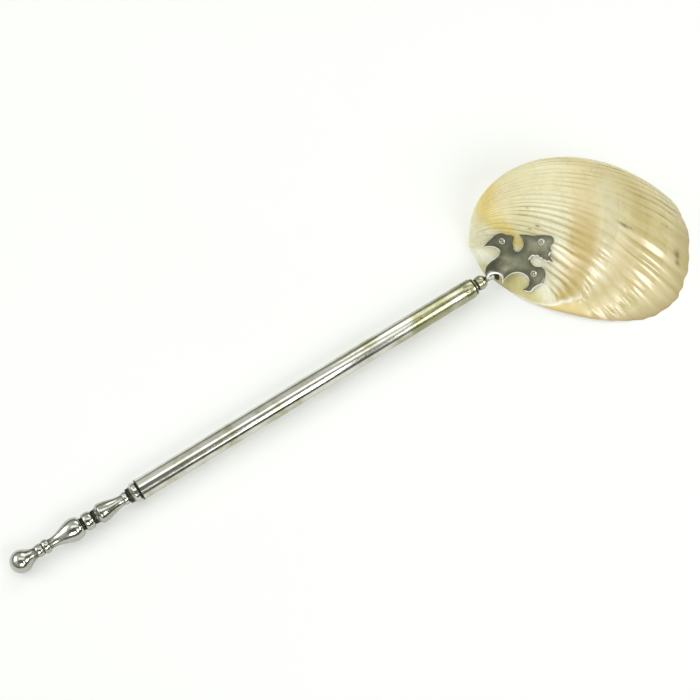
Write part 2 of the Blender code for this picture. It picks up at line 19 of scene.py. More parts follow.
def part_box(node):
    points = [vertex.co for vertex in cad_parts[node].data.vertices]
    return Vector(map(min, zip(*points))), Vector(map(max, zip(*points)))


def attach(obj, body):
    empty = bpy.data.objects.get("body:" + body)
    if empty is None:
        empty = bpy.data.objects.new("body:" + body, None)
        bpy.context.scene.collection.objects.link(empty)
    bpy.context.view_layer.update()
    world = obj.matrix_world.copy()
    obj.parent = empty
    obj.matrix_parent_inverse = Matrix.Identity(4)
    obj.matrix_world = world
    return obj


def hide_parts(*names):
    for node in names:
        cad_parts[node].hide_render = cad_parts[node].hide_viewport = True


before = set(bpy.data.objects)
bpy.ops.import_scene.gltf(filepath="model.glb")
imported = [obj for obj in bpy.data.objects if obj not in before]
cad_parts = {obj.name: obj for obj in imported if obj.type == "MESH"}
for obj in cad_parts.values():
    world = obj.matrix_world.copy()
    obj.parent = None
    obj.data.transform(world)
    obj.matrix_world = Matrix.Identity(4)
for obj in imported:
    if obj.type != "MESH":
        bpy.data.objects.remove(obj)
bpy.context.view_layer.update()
MM = 0.001
print("pieces in the solid model:", sorted(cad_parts))

# %% [markdown]
# ## Camera, table and light
# The photograph looks down at 63 degrees, with the handle running from the lower left. A camera is
# placed by where it looks, how far back it stands and how far it is turned, which are the numbers a
# photographer would write down. The lens is as long for the sensor as it is in the photograph.

# %% Camera
scene = bpy.context.scene
scene.view_settings.view_transform = "Standard"
LOOKS_AT = Vector((0.58, 10.31, 0.0)) * MM
STANDS_BACK = 388.9 * MM
LOOKS_DOWN = math.radians(63.05)
TURNED = math.radians(-33.895)
SENSOR_WIDTH = 36.0
LENS = 72.2
camera = bpy.data.objects.new("camera", bpy.data.cameras.new("camera"))
scene.collection.objects.link(camera)
camera.data.sensor_width = SENSOR_WIDTH
camera.data.lens = LENS
camera.data.clip_start = 10 * MM
camera.rotation_euler = (math.pi / 2 - LOOKS_DOWN, 0.0, TURNED)
camera.location = LOOKS_AT + camera.rotation_euler.to_matrix() @ Vector((0.0, 0.0, STANDS_BACK))
scene.camera = camera
print("camera stands", round(camera.location.z / MM), "mm above the table")

# %% [markdown]
# Colours are written as the hex values that a paint program shows. Blender's shaders work in linear
# light, so one function turns a hex value into the four linear numbers that a colour socket takes.
# Two more feed a node's inputs and add a new node, so that a material reads as a list. The next lays
# coats of colour over one another, each by its own share, as a painter glazes, and the last starts an
# empty material.

# %% Colour and node helpers
def linear(hex_colour):
    channels = [int(hex_colour[i : i + 2], 16) / 255 for i in (1, 3, 5)]
    return [c / 12.92 if c < 0.04045 else ((c + 0.055) / 1.055) ** 2.4 for c in channels] + [1.0]


def feed(node, inputs):
    """Sets inputs of a node, each to a value or to another node's output."""
    for name, value in inputs.items():
        if isinstance(value, bpy.types.NodeSocket):
            node.id_data.links.new(value, node.inputs[name])
        else:
            node.inputs[name].default_value = value


def add(tree, kind, inputs=None, out=0, stops=None, **settings):
    """One output of a new node, the first unless another is named. Stops are a colour ramp's."""
    made = tree.nodes.new("ShaderNode" + kind)
    for name, value in settings.items():
        setattr(made, name, value)
    feed(made, inputs or {})
    if stops:
        while len(made.color_ramp.elements) < len(stops):
            made.color_ramp.elements.new(1.0)
        for element, (place, colour) in zip(made.color_ramp.elements, stops):
            element.position = place
            element.color = linear(colour)
    return made.outputs[out]


def coated(tree, colour, coats):
    """Coats of colour over a first one. Each has a share and a tint: values or other nodes' outputs."""
    for share, tint in coats:
        tint = linear(tint) if isinstance(tint, str) else tint
        colour = add(tree, "Mix", {"Factor": share, "A": colour, "B": tint}, out=2, data_type="RGBA")
    return colour


def new_material(name):
    """An empty material and its surface shader, ready for the nodes that paint it."""
    material = bpy.data.materials.new(name)
    material.use_nodes = True
    tree = material.node_tree
    return material, tree, tree.nodes["Principled BSDF"]


print("one hex colour in linear light:", [round(c, 3) for c in linear("#E1DBB6")])

# %% [markdown]
# The table is a plain white board. Under soft light it is what polished metal mirrors along its edges,
# so it matters for the silver as much as for the shadow. A very faint mottle keeps it from looking cut
# out.

# %% Table
TABLE_HALF = 3.0
TABLE_DROP = 0.02 * MM  # keeps its face from flickering against the rim that rests on it
TABLE_GLOW = 0.35


def make_table():
    mesh = bpy.data.meshes.new("table")
    corners = [(x * TABLE_HALF, y * TABLE_HALF, 0.0) for x, y in ((-1, -1), (1, -1), (1, 1), (-1, 1))]
    mesh.from_pydata(corners, [], [(0, 1, 2, 3)])
    table = bpy.data.objects.new("table", mesh)
    table.location.z = -TABLE_DROP
    scene.collection.objects.link(table)
    return table


table = make_table()
board, tree, shader = new_material("white_card_matt")
place = add(tree, "TexCoord", out="Object")
mottle = add(tree, "TexNoise", {"Vector": place, "Scale": 12.0, "Detail": 3.0})
paper = add(tree, "ValToRGB", {"Fac": mottle}, stops=[(0.3, "#F8FAF6"), (0.7, "#FAFCF9")])
feed(shader, {"Base Color": paper, "Roughness": 0.9, "Specular IOR Level": 0.1})
# The photograph's card is as good as white. Part of that comes from a glow that only the camera and the
# mirrors see, so no more light falls on the spoon and the shadow stays.
path = add(tree, "LightPath").node.outputs
seen = path["Is Camera Ray"]
for kind in ("Is Glossy Ray", "Is Transmission Ray"):
    seen = add(tree, "Math", {0: seen, 1: path[kind]}, operation="MAXIMUM")
part = add(tree, "Math", {0: seen, 1: TABLE_GLOW}, operation="MULTIPLY")
glow = add(tree, "Emission", {"Color": linear("#FDFFFC"), "Strength": 1.0})
mixed = add(tree, "MixShader", {"Fac": part, 1: shader.outputs["BSDF"], 2: glow})
feed(tree.nodes["Material Output"], {"Surface": mixed})
table.data.materials.append(board)
print("table, m across:", 2 * TABLE_HALF)

# %% [markdown]
# Three wide panels, above, behind and at the left, give soft light with a pale room. The panel above lies
# along the tube and draws its long highlight. Two windows and two small strips at the front shine only in
# gloss: the shell's ribs catch them one by one, and the turnings show them as sparks. The fill at the front
# does the opposite. It lights the near side, and no mirror shows it.

# %% Lamps
SPOON_MIDDLE = (0.05, 0.0, 0.0)
NEAR_BOWL = (0.07, -0.01, 0.0)
WINDOWS = [
    ("window_left", (-0.25, -0.45, 0.34), (0.30, 0.2), 1.7),
    ("window_right", (0.50, -0.38, 0.34), (0.26, 0.2), 1.6),
    ("strip_front", (0.09, -0.52, 0.36), (0.16, 0.1), 0.34),
    ("strip_high", (0.12, -0.39, 0.46), (0.12, 0.1), 0.3),
]


def soft_box(name, place, aim, size, watts, turn=0.0):
    """A rectangular lamp that faces a point, turned about its own axis by some degrees."""
    lamp = bpy.data.lights.new(name, "AREA")
    lamp.shape = "RECTANGLE"
    lamp.size = size[0]
    lamp.size_y = size[1]
    lamp.energy = watts
    box = bpy.data.objects.new(name, lamp)
    box.location = place
    facing = (Vector(aim) - Vector(place)).to_track_quat("-Z", "Y").to_matrix()
    box.rotation_euler = (facing @ Matrix.Rotation(math.radians(turn), 3, "Z")).to_euler()
    scene.collection.objects.link(box)
    return box


soft_box("panel_above", (0.12, -0.006, 0.62), (0.12, -0.016, 0.0), (0.75, 0.22), 0.72, turn=-19.6)
soft_box("panel_behind", (0.44, 0.34, 0.46), SPOON_MIDDLE, (0.5, 0.35), 1.15)
soft_box("panel_left", (-0.42, 0.30, 0.36), SPOON_MIDDLE, (0.4, 0.3), 0.85)
for name, place, size, watts in WINDOWS:
    soft_box(name, place, NEAR_BOWL, size, watts).visible_diffuse = False
soft_box("fill_front", (0.10, -0.62, 0.50), SPOON_MIDDLE, (0.8, 0.4), 3.0).visible_glossy = False

# %% [markdown]
# The room is a gradient all round: dim near the floor, pale overhead and brighter at the back. Polished
# metal mirrors it, so the dim parts are the dark lines on the turnings. The camera and whoever holds it
# are one more dark patch in that mirror.

# %% Room
TO_FRONT = (0.75, -0.66, 0.0)
TO_CAMERA = (-0.25, -0.36, 0.9)
room = bpy.data.worlds.new("room")
scene.world = room
room.use_nodes = True
tree = room.node_tree
toward = add(tree, "TexCoord", out="Generated")
height = add(tree, "SeparateXYZ", {"Vector": toward}, out="Z")
front = add(tree, "VectorMath", {0: toward, 1: TO_FRONT}, out="Value", operation="DOT_PRODUCT")
walls = add(tree, "ValToRGB", {"Fac": height}, stops=[
    (0.0, "#52534D"), (0.1, "#5C5D57"), (0.3, "#8A8C87"), (0.6, "#BEC0BB"), (1.0, "#D2D4D0"),
])
strength = add(tree, "MapRange", {
    "Value": front, "From Min": -0.9, "From Max": 0.8, "To Min": 1.7, "To Max": 0.4,
})
faced = add(tree, "VectorMath", {0: toward, 1: TO_CAMERA}, out="Value", operation="DOT_PRODUCT")
shaded = add(tree, "MapRange", {
    "Value": faced, "From Min": 0.86, "From Max": 0.95, "To Min": 1.0, "To Max": 0.25,
})
dimmed = add(tree, "Math", {0: strength, 1: shaded}, operation="MULTIPLY")
feed(tree.nodes["Background"], {"Color": walls, "Strength": dimmed})
print("tones in the room:", len(walls.node.color_ramp.elements))

# %% [markdown]
# ## Building helpers
# Almost everything here is a surface through a table of points: rows along a piece and columns round
# it. One function makes such a mesh, another paints numbers on its points for the materials to read,
# and a third puts a finished piece in the place of the plain solid that it stands for. Two small curves,
# a smooth step and a hump, shape nearly all that follows.

# %% Mesh helpers
def woven_mesh(name, points, closed=False):
    """Four-sided faces through a table of points. A closed table joins its last column to its first."""
    rows, columns = points.shape[:2]
    index = np.arange(rows * columns).reshape(rows, columns)
    if closed:
        index = np.concatenate([index, index[:, :1]], axis=1)
    corners = [index[:-1, :-1], index[:-1, 1:], index[1:, 1:], index[1:, :-1]]
    faces = np.stack(corners, axis=-1).reshape(-1, 4)
    mesh = bpy.data.meshes.new(name)
    mesh.from_pydata(points.reshape(-1, 3).tolist(), [], faces.tolist())
    return mesh


def paint(mesh, name, values):
    layer = mesh.attributes.new(name, "FLOAT", "POINT")
    layer.data.foreach_set("value", np.ascontiguousarray(values, dtype=np.float32).ravel())


def put_in_place(name, mesh, material):
    """Stands a finished piece in for the solid of the same name."""
    piece = bpy.data.objects.new(name + "_finish", mesh)
    scene.collection.objects.link(piece)
    mesh.materials.append(material)
    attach(piece, "root")
    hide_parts(name)
    print(f"{name}: {len(mesh.polygons)} faces")


def smooth_step(low, high, value):
    share = np.clip((value - low) / (high - low), 0.0, 1.0)
    return share * share * (3.0 - 2.0 * share)


def hump(value, middle, width):
    return np.exp(-(((value - middle) / width) ** 2))


print("a smooth step at its quarters:", [float(smooth_step(0.0, 1.0, q)) for q in (0.25, 0.5, 0.75)])

# %% [markdown]
# ## The shell
# A bivalve grows by adding to its margin while it turns about its hinge, so its outside is a spiral: the
# margin, carried round the hinge line and shrunk as it goes. Two angles place each point. The fan angle
# runs across the shell from one end of the hinge to the other, and the coil angle runs back from the
# margin to the beak. The margin's reach at nine fan angles gives it the lopsided shape of this shell.

# %% Shell sizes
MARGIN_REACH = np.array([10.2, 15.6, 31.0, 53.0, 58.7, 55.4, 34.5, 22.3, 13.0]) * MM
COIL = 0.98
CROWN_RISE = 1.01
FAR_FULLNESS = 0.92
LEAN_FORWARD = -0.14
LEAN_ACROSS = 0.33
HINGE_BACK = 4.3 * MM
HINGE_ASIDE = 2.2 * MM


def margin_reach(fan):
    """A smooth curve through the reaches, at fan angles from -90 to 90 degrees."""
    last = len(MARGIN_REACH) - 1
    place = (fan / 180.0 + 0.5) * last
    i = np.clip(place.astype(int), 0, last - 1)
    share = place - i
    before = MARGIN_REACH[np.maximum(i - 1, 0)]
    here = MARGIN_REACH[i]
    there = MARGIN_REACH[i + 1]
    after = MARGIN_REACH[np.minimum(i + 2, last)]
    leave = 0.5 * (there - before)
    arrive = 0.5 * (after - here)
    return (
        (2 * share**3 - 3 * share**2 + 1) * here
        + (share**3 - 2 * share**2 + share) * leave
        + (3 * share**2 - 2 * share**3) * there
        + (share**3 - share**2) * arrive
    )


def shell_points(fan, coil, relief):
    """Points of the coiled outside, from fan angles in degrees, coil angles in radians and a relief."""
    turn = np.radians(fan)
    growth = np.exp(-COIL * coil)
    arm = growth * (margin_reach(fan) + relief)
    fullness = 1.0 + FAR_FULLNESS * np.maximum(np.sin(turn), 0.0) ** 2
    height = CROWN_RISE * fullness * arm * np.cos(turn) * np.sin(coil)
    hinge_end = -30.0 + 50.0 * smooth_step(1.6, 2.8, coil)
    carried = (1.0 - growth) * (1.0 - smooth_step(-90.0, hinge_end, fan))
    x = arm * np.cos(turn) * np.cos(coil) + LEAN_FORWARD * height - HINGE_BACK * carried
    y = arm * np.sin(turn) + LEAN_ACROSS * height - HINGE_ASIDE * carried
    return np.stack([x, y, height], axis=-1)


print("reach at the middle of the fan, mm:", round(float(margin_reach(np.array([0.0]))[0]) / MM, 1))

# %% [markdown]
# The fine forms of the outside are small changes of its reach, so they follow the shell's own spiral. Thin
# grooves of uneven depth run everywhere, deepest at the margin. On the near side the animal later grew
# broad ribs, and one patch of them is worn smooth. Growth lines swing towards the margin on the near side,
# and "age" is the coil angle with that swing taken out.

# %% Ribs and grooves
FAN_STEPS = 672
COIL_STEPS = 130
RIBS = 62
BROAD_CRESTS = [
    -92.0, -45.0, -41.0, -37.3, -33.8, -30.4, -26.9, -23.6, -19.2,
    -15.3, -11.4, -6.3, -1.2, 4.0, 9.2, 14.4, 92.0,
]  # fan angles
RIB_RISE = 0.3  # this and the three depths are in mm
FINE_GROOVE = 0.16
MARGIN_GROOVE = 0.22
BROAD_GROOVE = 0.65
fan_row = np.linspace(-90.0, 90.0, FAN_STEPS + 1)
coil_row = math.pi * np.linspace(0.0, 1.0, COIL_STEPS + 1) ** 1.3  # closest together at the margin
fan, coil = np.meshgrid(fan_row, coil_row, indexing="ij")
swing = 1.0 - (np.clip(-fan, 0.0, 47.0) / 48.0) ** 2.4
age = np.clip(coil / swing, 0.0, 3.2)
rib_ground = smooth_step(-54.0, -44.0, fan) * (1.0 - smooth_step(72.0, 84.0, fan))
phase = fan * RIBS / 180.0 + 0.09 * np.sin(0.93 * fan + 1.3) + 0.14 * np.sin(0.41 * fan + 4.0 * age)
number = np.round(phase).astype(int)
aside = np.abs(phase - number)
uneven = np.random.default_rng(5).uniform(0.3, 1.45, 128)
depth = uneven[number + 64]
broad_phase = np.interp(fan + 0.5 * np.sin(9.0 * age), BROAD_CRESTS, np.arange(len(BROAD_CRESTS)))
broad_aside = np.abs(broad_phase - np.round(broad_phase))
broad_depth = 0.6 + 0.45 * uneven[np.floor(broad_phase).astype(int)]
swell_down = (2.0 * broad_aside) ** 2 * (2.0 - (2.0 * broad_aside) ** 2)
broad = smooth_step(14.0, -10.0, fan) * smooth_step(0.66, 0.44, age)
worn = 1.0 - 0.8 * hump(fan, -7.0, 11.0) * hump(age, 0.40, 0.11)
lip = 0.5 + 0.5 * smooth_step(0.0, 0.09, coil)
margin = smooth_step(0.5, 0.1, age) * (1.0 - broad)
fine_depth = (FINE_GROOVE + MARGIN_GROOVE * margin) * np.exp(0.45 * coil)
fine_grooves = (1.0 - broad) * depth * fine_depth * hump(aside, 0.0, 0.18)
grooves = fine_grooves + BROAD_GROOVE * broad * broad_depth * swell_down
ribs = rib_ground * (RIB_RISE - lip * worn * grooves)
print("deepest groove, mm:", round(float((lip * worn * grooves).max()), 2))

# %% [markdown]
# Where the animal paused, the shell has shallow swells and dips along the age lines. The near edge was
# ground to a smooth facet, and the ridge above it is where the facet meets the ribbed outside. The margin
# is a little chipped.

# %% Growth steps and the ground facet
FIRST_SWELL, PAUSE, LAST_SWELL = 0.40, 0.265, 0.15  # ages, counted back from the margin
RIDGE_FANS = [-66, -62.7, -59.4, -54.5, -50.2, -46.1, -42.2, -38.8, -34.0]
RIDGE_COILS = [0.05, 0.031, 0.013, 0.004, 0.035, 0.069, 0.108, 0.138, 0.16]
RIDGE_RISE = 0.75  # mm
ridge_coil = 0.012 + np.interp(fan, RIDGE_FANS, RIDGE_COILS)
ridge_here = smooth_step(-66.0, -61.0, fan) * (1.0 - smooth_step(-42.0, -33.0, fan))
below = np.clip(coil / ridge_coil, 0.0, 1.0) ** 1.4
above = np.exp(-np.maximum(coil - ridge_coil, 0.0) / 0.05)
facet = ridge_here * (1.0 - smooth_step(0.75, 1.0, coil / ridge_coil))
ridge = RIDGE_RISE * ridge_here * below * above
# Painted highlight: a thin, near-white line along the ridge crest, over its relief.
painted_ridge_highlight = ridge_here * hump(coil, ridge_coil, 0.013)
dip = np.exp(-np.abs(age - PAUSE) / 0.045)
terrace = 0.3 * hump(age, FIRST_SWELL, 0.08) - 0.55 * dip + 0.3 * hump(age, LAST_SWELL, 0.07)
steps = terrace * smooth_step(22.0, -4.0, fan) - 0.12 * hump(age, 0.62, 0.06)
chips = -0.28 * (1.0 + np.sin(0.17 * fan + 0.6) * np.sin(0.41 * fan + 2.0)) * np.exp(-coil / 0.12)
relief = (ribs * (1.0 - facet) + (steps + chips) * rib_ground * (1.0 - facet) + ridge) * MM
print("lowest and highest relief, mm:", [round(float(r) / MM, 2) for r in (relief.min(), relief.max())])

# %% [markdown]
# A natural shell has flaws: a brown nick on the crown, a stain at the edge and a few specks by the plate.
# Each is a small spot at a fan and a coil angle, with a width in both.

# %% Flaws
FLAWS = [
    (-6.7, 0.335, 0.7, 0.03), (-6.2, 0.30, 0.4, 0.012), (-4.0, 0.06, 1.5, 0.012),
    (-6.5, 0.055, 0.8, 0.01), (-24.3, 0.856, 0.45, 0.012), (-21.8, 0.814, 0.5, 0.02),
    (-12.4, 0.955, 0.3, 0.01), (-41.0, 1.7, 1.2, 0.02),
]
stain = np.zeros_like(fan)
for at_fan, at_coil, fan_width, coil_width in FLAWS:
    stain = np.maximum(stain, hump(fan, at_fan, fan_width) * hump(coil, at_coil, coil_width))
print("flaws:", len(FLAWS))

# %% [markdown]
# The same angles say where each colour will lie. Dirt stays in the lines, a warm tone in the valleys of the
# broad ribs, and the rim is a little darker all round. Painted light lies here too: a painted shadow along
# the near rim, a painted glow on the thin flat by the beak, painted shade below the plate, and painted
# highlights on the rib crests and along the ridge. Beside the plate the shell is pale. The buff reached the
# swells best, so polish lies in two rows and leaves the dips dull.

# %% Where the colours lie
line = (1.0 - broad) * (1.0 + 1.2 * margin) * depth * hump(aside, 0.0, 0.13)
line = rib_ground * worn * (line + 0.5 * broad * broad_depth * hump(broad_aside, 0.5, 0.16))
valley = broad * rib_ground * worn * swell_down
# The rim is a little darker all round. The stronger brown along the near side is painted shadow under the
# lifted near edge.
rim = np.exp(-coil / 0.02) * (0.35 + 0.6 * smooth_step(-4.0, -26.0, fan))
# Painted glow: the thin flat by the beak is painted near white, as if lit through the shell. Beside the plate
# the shell is pale.
painted_glow_at_beak = smooth_step(-48.0, -58.0, fan) * smooth_step(0.5, 0.9, coil)
by_plate = 0.8 * smooth_step(-31.0, -37.0, fan) * smooth_step(0.9, 1.15, age) * smooth_step(0.9, 0.7, coil)
# Painted shade: a darker yellow-green on the low part of the shell below the plate, by the beak.
painted_shade_below_plate = smooth_step(-44.0, -54.0, fan) * smooth_step(0.75, 0.45, coil)
# Painted highlight: pale streaks along the rib crests between the plate and the strong band.
crest = smooth_step(0.2, 0.42, aside) * rib_ground * hump(age, 0.80, 0.16) * smooth_step(4.0, -14.0, fan)
first_row = hump(age, 0.41 - 0.12 * smooth_step(-29.0, -38.0, fan), 0.05)
second_row = hump(age, 0.172 - 0.09 * smooth_step(-22.0, -34.0, fan), 0.07)
rows_or_dips = 2.0 * np.maximum(first_row, second_row) - 1.0
polish = broad * rib_ground * (1.0 - facet) * rows_or_dips - facet
layers = {
    "polish": polish, "valley": valley, "fan": fan, "age": age, "line": line, "facet": facet,
    "ridge": painted_ridge_highlight, "flat": np.maximum(painted_glow_at_beak, by_plate), "stain": stain, "crest": crest,
    "painted_shade_below_plate": painted_shade_below_plate, "rim": rim,
}
print("layers to paint:", list(layers))

# %% [markdown]
# The bowl is hollow, so its inside is the same spiral without the ribs, drawn in by the thickness of the
# wall. A flat rim joins the two all round. The near edge was ground a little short, so it stands about a
# millimetre off the table and has a shadow under it.

# %% Shell bowl
EDGE_WALL = 1.3 * MM
HINGE_WALL = 3.3 * MM
SIDE_WALL = 1.3 * MM
CROWN_WALL = 1.4 * MM
NEAR_LIFT = 1.1 * MM
CREASE = math.radians(50)
lifted = smooth_step(-66.0, -52.0, fan) * (1.0 - smooth_step(-44.0, -24.0, fan)) * np.exp(-coil / 0.08)


def drawn_in(plain):
    """The outside drawn in towards the bowl's middle by its walls."""
    length = plain[:, 0, 0].max()
    near, far = plain[:, 0, 1].min(), plain[:, 0, 1].max()
    share = np.array([
        1.0 - (EDGE_WALL + HINGE_WALL) / length,
        1.0 - 2.0 * SIDE_WALL / (far - near),
        1.0 - CROWN_WALL / plain[:, :, 2].max(),
    ])
    middle = np.array([HINGE_WALL / (1.0 - share[0]), 0.5 * (near + far), 0.0])
    return middle + share * (plain - middle)


def make_shell():
    plain = shell_points(fan, coil, np.zeros_like(fan))
    outside = shell_points(fan, coil, relief)
    outside[:, :, 2] *= min(1.0, plain[:, :, 2].max() / outside[:, :, 2].max())
    outside[:, :, 2] += NEAR_LIFT * lifted
    inside = drawn_in(plain)[::-2]
    shell = bmesh.new()
    for points, step, side in ((outside, 1, 0.0), (inside, -2, 1.0)):
        sheet = woven_mesh("sheet", points)
        for name, values in layers.items():
            paint(sheet, name, values[::step])
        paint(sheet, "inside", np.full(points.shape[:2], side))
        shell.from_mesh(sheet)
        bpy.data.meshes.remove(sheet)
    rims = [edge for edge in shell.edges if edge.is_boundary]
    bmesh.ops.triangle_fill(shell, use_beauty=True, edges=rims, normal=(0.0, 0.0, -1.0))
    bmesh.ops.recalc_face_normals(shell, faces=shell.faces)
    mesh = bpy.data.meshes.new("shell_bowl_finish")
    shell.to_mesh(mesh)
    shell.free()
    mesh.shade_smooth()
    mesh.set_sharp_from_angle(angle=CREASE)
    return mesh


shell_mesh = make_shell()
print("points on the shell:", len(shell_mesh.vertices))

# %% [markdown]
# The handle rests on the ball at its end and rises a little to the neck. The shell is turned on the handle
# and set down on the table with its beak beside the neck.

# %% Where the shell and the handle lie
BALL_RADIUS = 3.1 * MM
NECK_BALL_STATION = 144.76 * MM
NECK_HEIGHT = 4.6 * MM
BEAK_AHEAD = 10.7 * MM
BEAK_ASIDE = 11.6 * MM
SHELL_TURN = math.radians(-37)
knop_low, knop_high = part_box("finial_knop")
ball_centre = Vector((knop_low.x + BALL_RADIUS, 0.5 * (knop_low.y + knop_high.y), BALL_RADIUS))
rake = math.atan((NECK_HEIGHT - BALL_RADIUS) / NECK_BALL_STATION)
beak = Vector((ball_centre.x + NECK_BALL_STATION + BEAK_AHEAD, ball_centre.y + BEAK_ASIDE, 0.0))
shell_seat = Matrix.Translation(beak) @ Matrix.Rotation(SHELL_TURN, 4, "Z")
shell_mesh.transform(shell_seat)
print("beak of the shell, mm:", [round(c / MM, 2) for c in beak])

# %% [markdown]
# ## Polished shell
# Shell is layered aragonite, a stone with a pearly lustre. Grinding the rough outside away and polishing
# it leaves a warm cream with a clear gloss, and cuts through older layers, which show as tan bands along
# the growth lines. The olive margin is the youngest, thinnest layer. A cloudy noise makes the bands waver.

# %% Shell material: polished aragonite
polished_shell, tree, shader = new_material("aragonite_shell_polished")
layer = {name: add(tree, "Attribute", out="Fac", attribute_name=name) for name in [*layers, "inside"]}
place = add(tree, "TexCoord", out="Object")
cloud = add(tree, "TexNoise", {"Vector": place, "Scale": 1 / (9 * MM), "Detail": 4.0, "Roughness": 0.6})
waver = add(tree, "Math", {0: cloud, 1: 0.12, 2: -0.06}, operation="MULTIPLY_ADD")
growth_line = add(tree, "Math", {0: layer["age"], 1: waver}, operation="ADD")
half_age = add(tree, "Math", {0: growth_line, 1: 0.5}, operation="MULTIPLY")
ground = add(tree, "ValToRGB", {"Fac": half_age}, stops=[
    (0.0, "#BBAE76"), (0.025, "#C5B87E"), (0.05, "#D6CA95"), (0.1, "#DACD98"), (0.13, "#CBBB80"),
    (0.16, "#DACE9C"), (0.21, "#E0D8B2"), (0.25, "#DFD4A6"), (0.288, "#DECF9C"), (0.33, "#DFD5A6"),
    (0.4, "#E1DAB0"), (0.55, "#E1D9AD"), (0.63, "#E4DAA8"), (0.71, "#E4D07E"), (0.84, "#E8D78C"),
    (0.9, "#EBE2B2"), (1.0, "#EFEBC8"),
])
ground.node.color_ramp.interpolation = "CARDINAL"
print("tones from the margin to the beak:", len(ground.node.color_ramp.elements))

# %% [markdown]
# The strongest tan band lies along one growth line and widens on the near half of the shell. Past the
# middle of the fan the far side is more olive. Dirt has stayed in parts of the fine lines, and a grain of
# small specks breaks up the cream.

# %% Bands, lines and specks of the shell
BAND_AGE = 0.565
nearer = add(tree, "MapRange", {
    "Value": layer["fan"], "From Min": 0.0, "From Max": -26.0,
}, interpolation_type="SMOOTHSTEP")
width = add(tree, "MapRange", {
    "Value": layer["fan"], "From Min": -12.0, "From Max": -40.0, "To Min": 0.1, "To Max": 0.32,
})
away = add(tree, "Math", {0: growth_line, 1: BAND_AGE}, operation="SUBTRACT")
off = add(tree, "Math", {0: away}, operation="ABSOLUTE")
on_band = add(tree, "MapRange", {
    "Value": off, "From Min": width, "From Max": 0.04,
}, interpolation_type="SMOOTHSTEP")
strong = add(tree, "Math", {0: nearer, 1: on_band}, operation="MULTIPLY")
farther = add(tree, "MapRange", {
    "Value": layer["fan"], "From Min": 0.0, "From Max": 18.0, "To Max": 0.6,
}, interpolation_type="SMOOTHSTEP")
younger = add(tree, "MapRange", {
    "Value": growth_line, "From Min": 0.66, "From Max": 0.46,
}, interpolation_type="SMOOTHSTEP")
olive = add(tree, "Math", {0: farther, 1: younger}, operation="MULTIPLY")
dusty = add(tree, "MapRange", {
    "Value": cloud, "From Min": 0.36, "From Max": 0.66, "To Min": 0.0, "To Max": 0.8,
})
dirt = add(tree, "Math", {0: layer["line"], 1: dusty}, operation="MULTIPLY")
grain = add(tree, "TexNoise", {"Vector": place, "Scale": 1 / (2.2 * MM), "Detail": 5.0, "Roughness": 0.65})
speck = add(tree, "MapRange", {"Value": grain, "From Min": 0.48, "From Max": 0.75, "To Max": 0.45})
# The painted crest highlight goes on at 0.8 of its strength.
crest_highlight_share = add(tree, "Math", {0: layer["crest"], 1: 0.8}, operation="MULTIPLY")
gold = add(tree, "Math", {0: layer["valley"], 1: 0.4}, operation="MULTIPLY")
print("the strong band lies at age", BAND_AGE)

# %% [markdown]
# The colours go on as coats, from what lies deepest to what lies on top: the bands, a warm tone in the
# valleys, a breath of pink and green lustre, dirt and specks, a painted highlight on the crests, a painted
# glow by the beak and a pale patch beside the plate, painted shade below the plate, then the facet, a
# painted highlight along its ridge, the darker rim with painted shadow along the near side, and the flaws.
# The inside of the bowl is the plain pale layer that the animal lived against.

# %% Coats of the shell
PEARL_SHARE = 0.07
lustre = add(tree, "TexNoise", {"Vector": place, "Scale": 1 / (13 * MM), "Detail": 2.0})
pearl = add(tree, "ValToRGB", {"Fac": lustre}, stops=[(0.36, "#EFD6CB"), (0.5, "#E6DFC2"), (0.64, "#D5DEB6")])
# Painted light among the coats: the crest and ridge highlights, the glow by the beak, the shade below the
# plate and the shadow along the near rim.
shell_coats = [
    (olive, "#D6C78C"), (gold, "#DCC078"), (strong, "#BFA548"), (PEARL_SHARE, pearl),
    (dirt, "#94884F"), (speck, "#C8B97C"), (crest_highlight_share, "#F2EFDC"), (layer["flat"], "#FAF8E2"),
    (layer["painted_shade_below_plate"], "#D8CF92"), (layer["facet"], "#E4CF86"), (layer["ridge"], "#FFFBE8"),
    (layer["rim"], "#A88C4C"), (layer["stain"], "#76602E"), (layer["inside"], "#EFE9D6"),
]
feed(shader, {"Base Color": coated(tree, ground, shell_coats)})
print("coats on the shell:", len(shell_coats))

# %% [markdown]
# Aragonite's index is about 1.6, and thin shell lets some light through, which softens its shading. Buffed
# swells are nearly mirror smooth, so they take the windows as sharp streaks, and the dull dips between
# them show only their colour.

# %% Gloss of the shell
# Growth lines are about 0.2 mm apart at the margin. They are drawn coarser, as a faint ripple.
angles = add(tree, "CombineXYZ", {"X": layer["age"], "Y": layer["fan"]})
spaced = add(tree, "Mapping", {"Vector": angles, "Scale": (34.0, 0.05, 1.0)})
ripple = add(tree, "TexNoise", {"Vector": spaced, "Scale": 1.0, "Detail": 2.0})
bump = add(tree, "Bump", {"Height": ripple, "Strength": 0.06, "Distance": 0.1 * MM})
buffed = add(tree, "MapRange", {
    "Value": layer["polish"], "From Min": -1.0, "From Max": 1.0, "To Min": 0.46, "To Max": 0.08,
})
wear = add(tree, "Math", {0: cloud, 1: 0.16, 2: -0.08}, operation="MULTIPLY_ADD")
rough = add(tree, "Math", {0: buffed, 1: wear}, operation="ADD")
feed(shader, {
    "Normal": bump, "Roughness": rough, "IOR": 1.62, "Subsurface Weight": 0.25,
    "Subsurface Radius": (1.0, 0.75, 0.4), "Subsurface Scale": 1.2 * MM,
})
put_in_place("shell_bowl", shell_mesh, polished_shell)

# %% [markdown]
# ## The turned handle
# The finial, its collar, the tube and the neck were shaped on a lathe, so each is a profile spun about
# the handle's axis. A profile is a list of stations along the handle and radii, and a few curves make all
# of them: an S-shaped swell, a quarter round, a half-round ring and part of a ball.

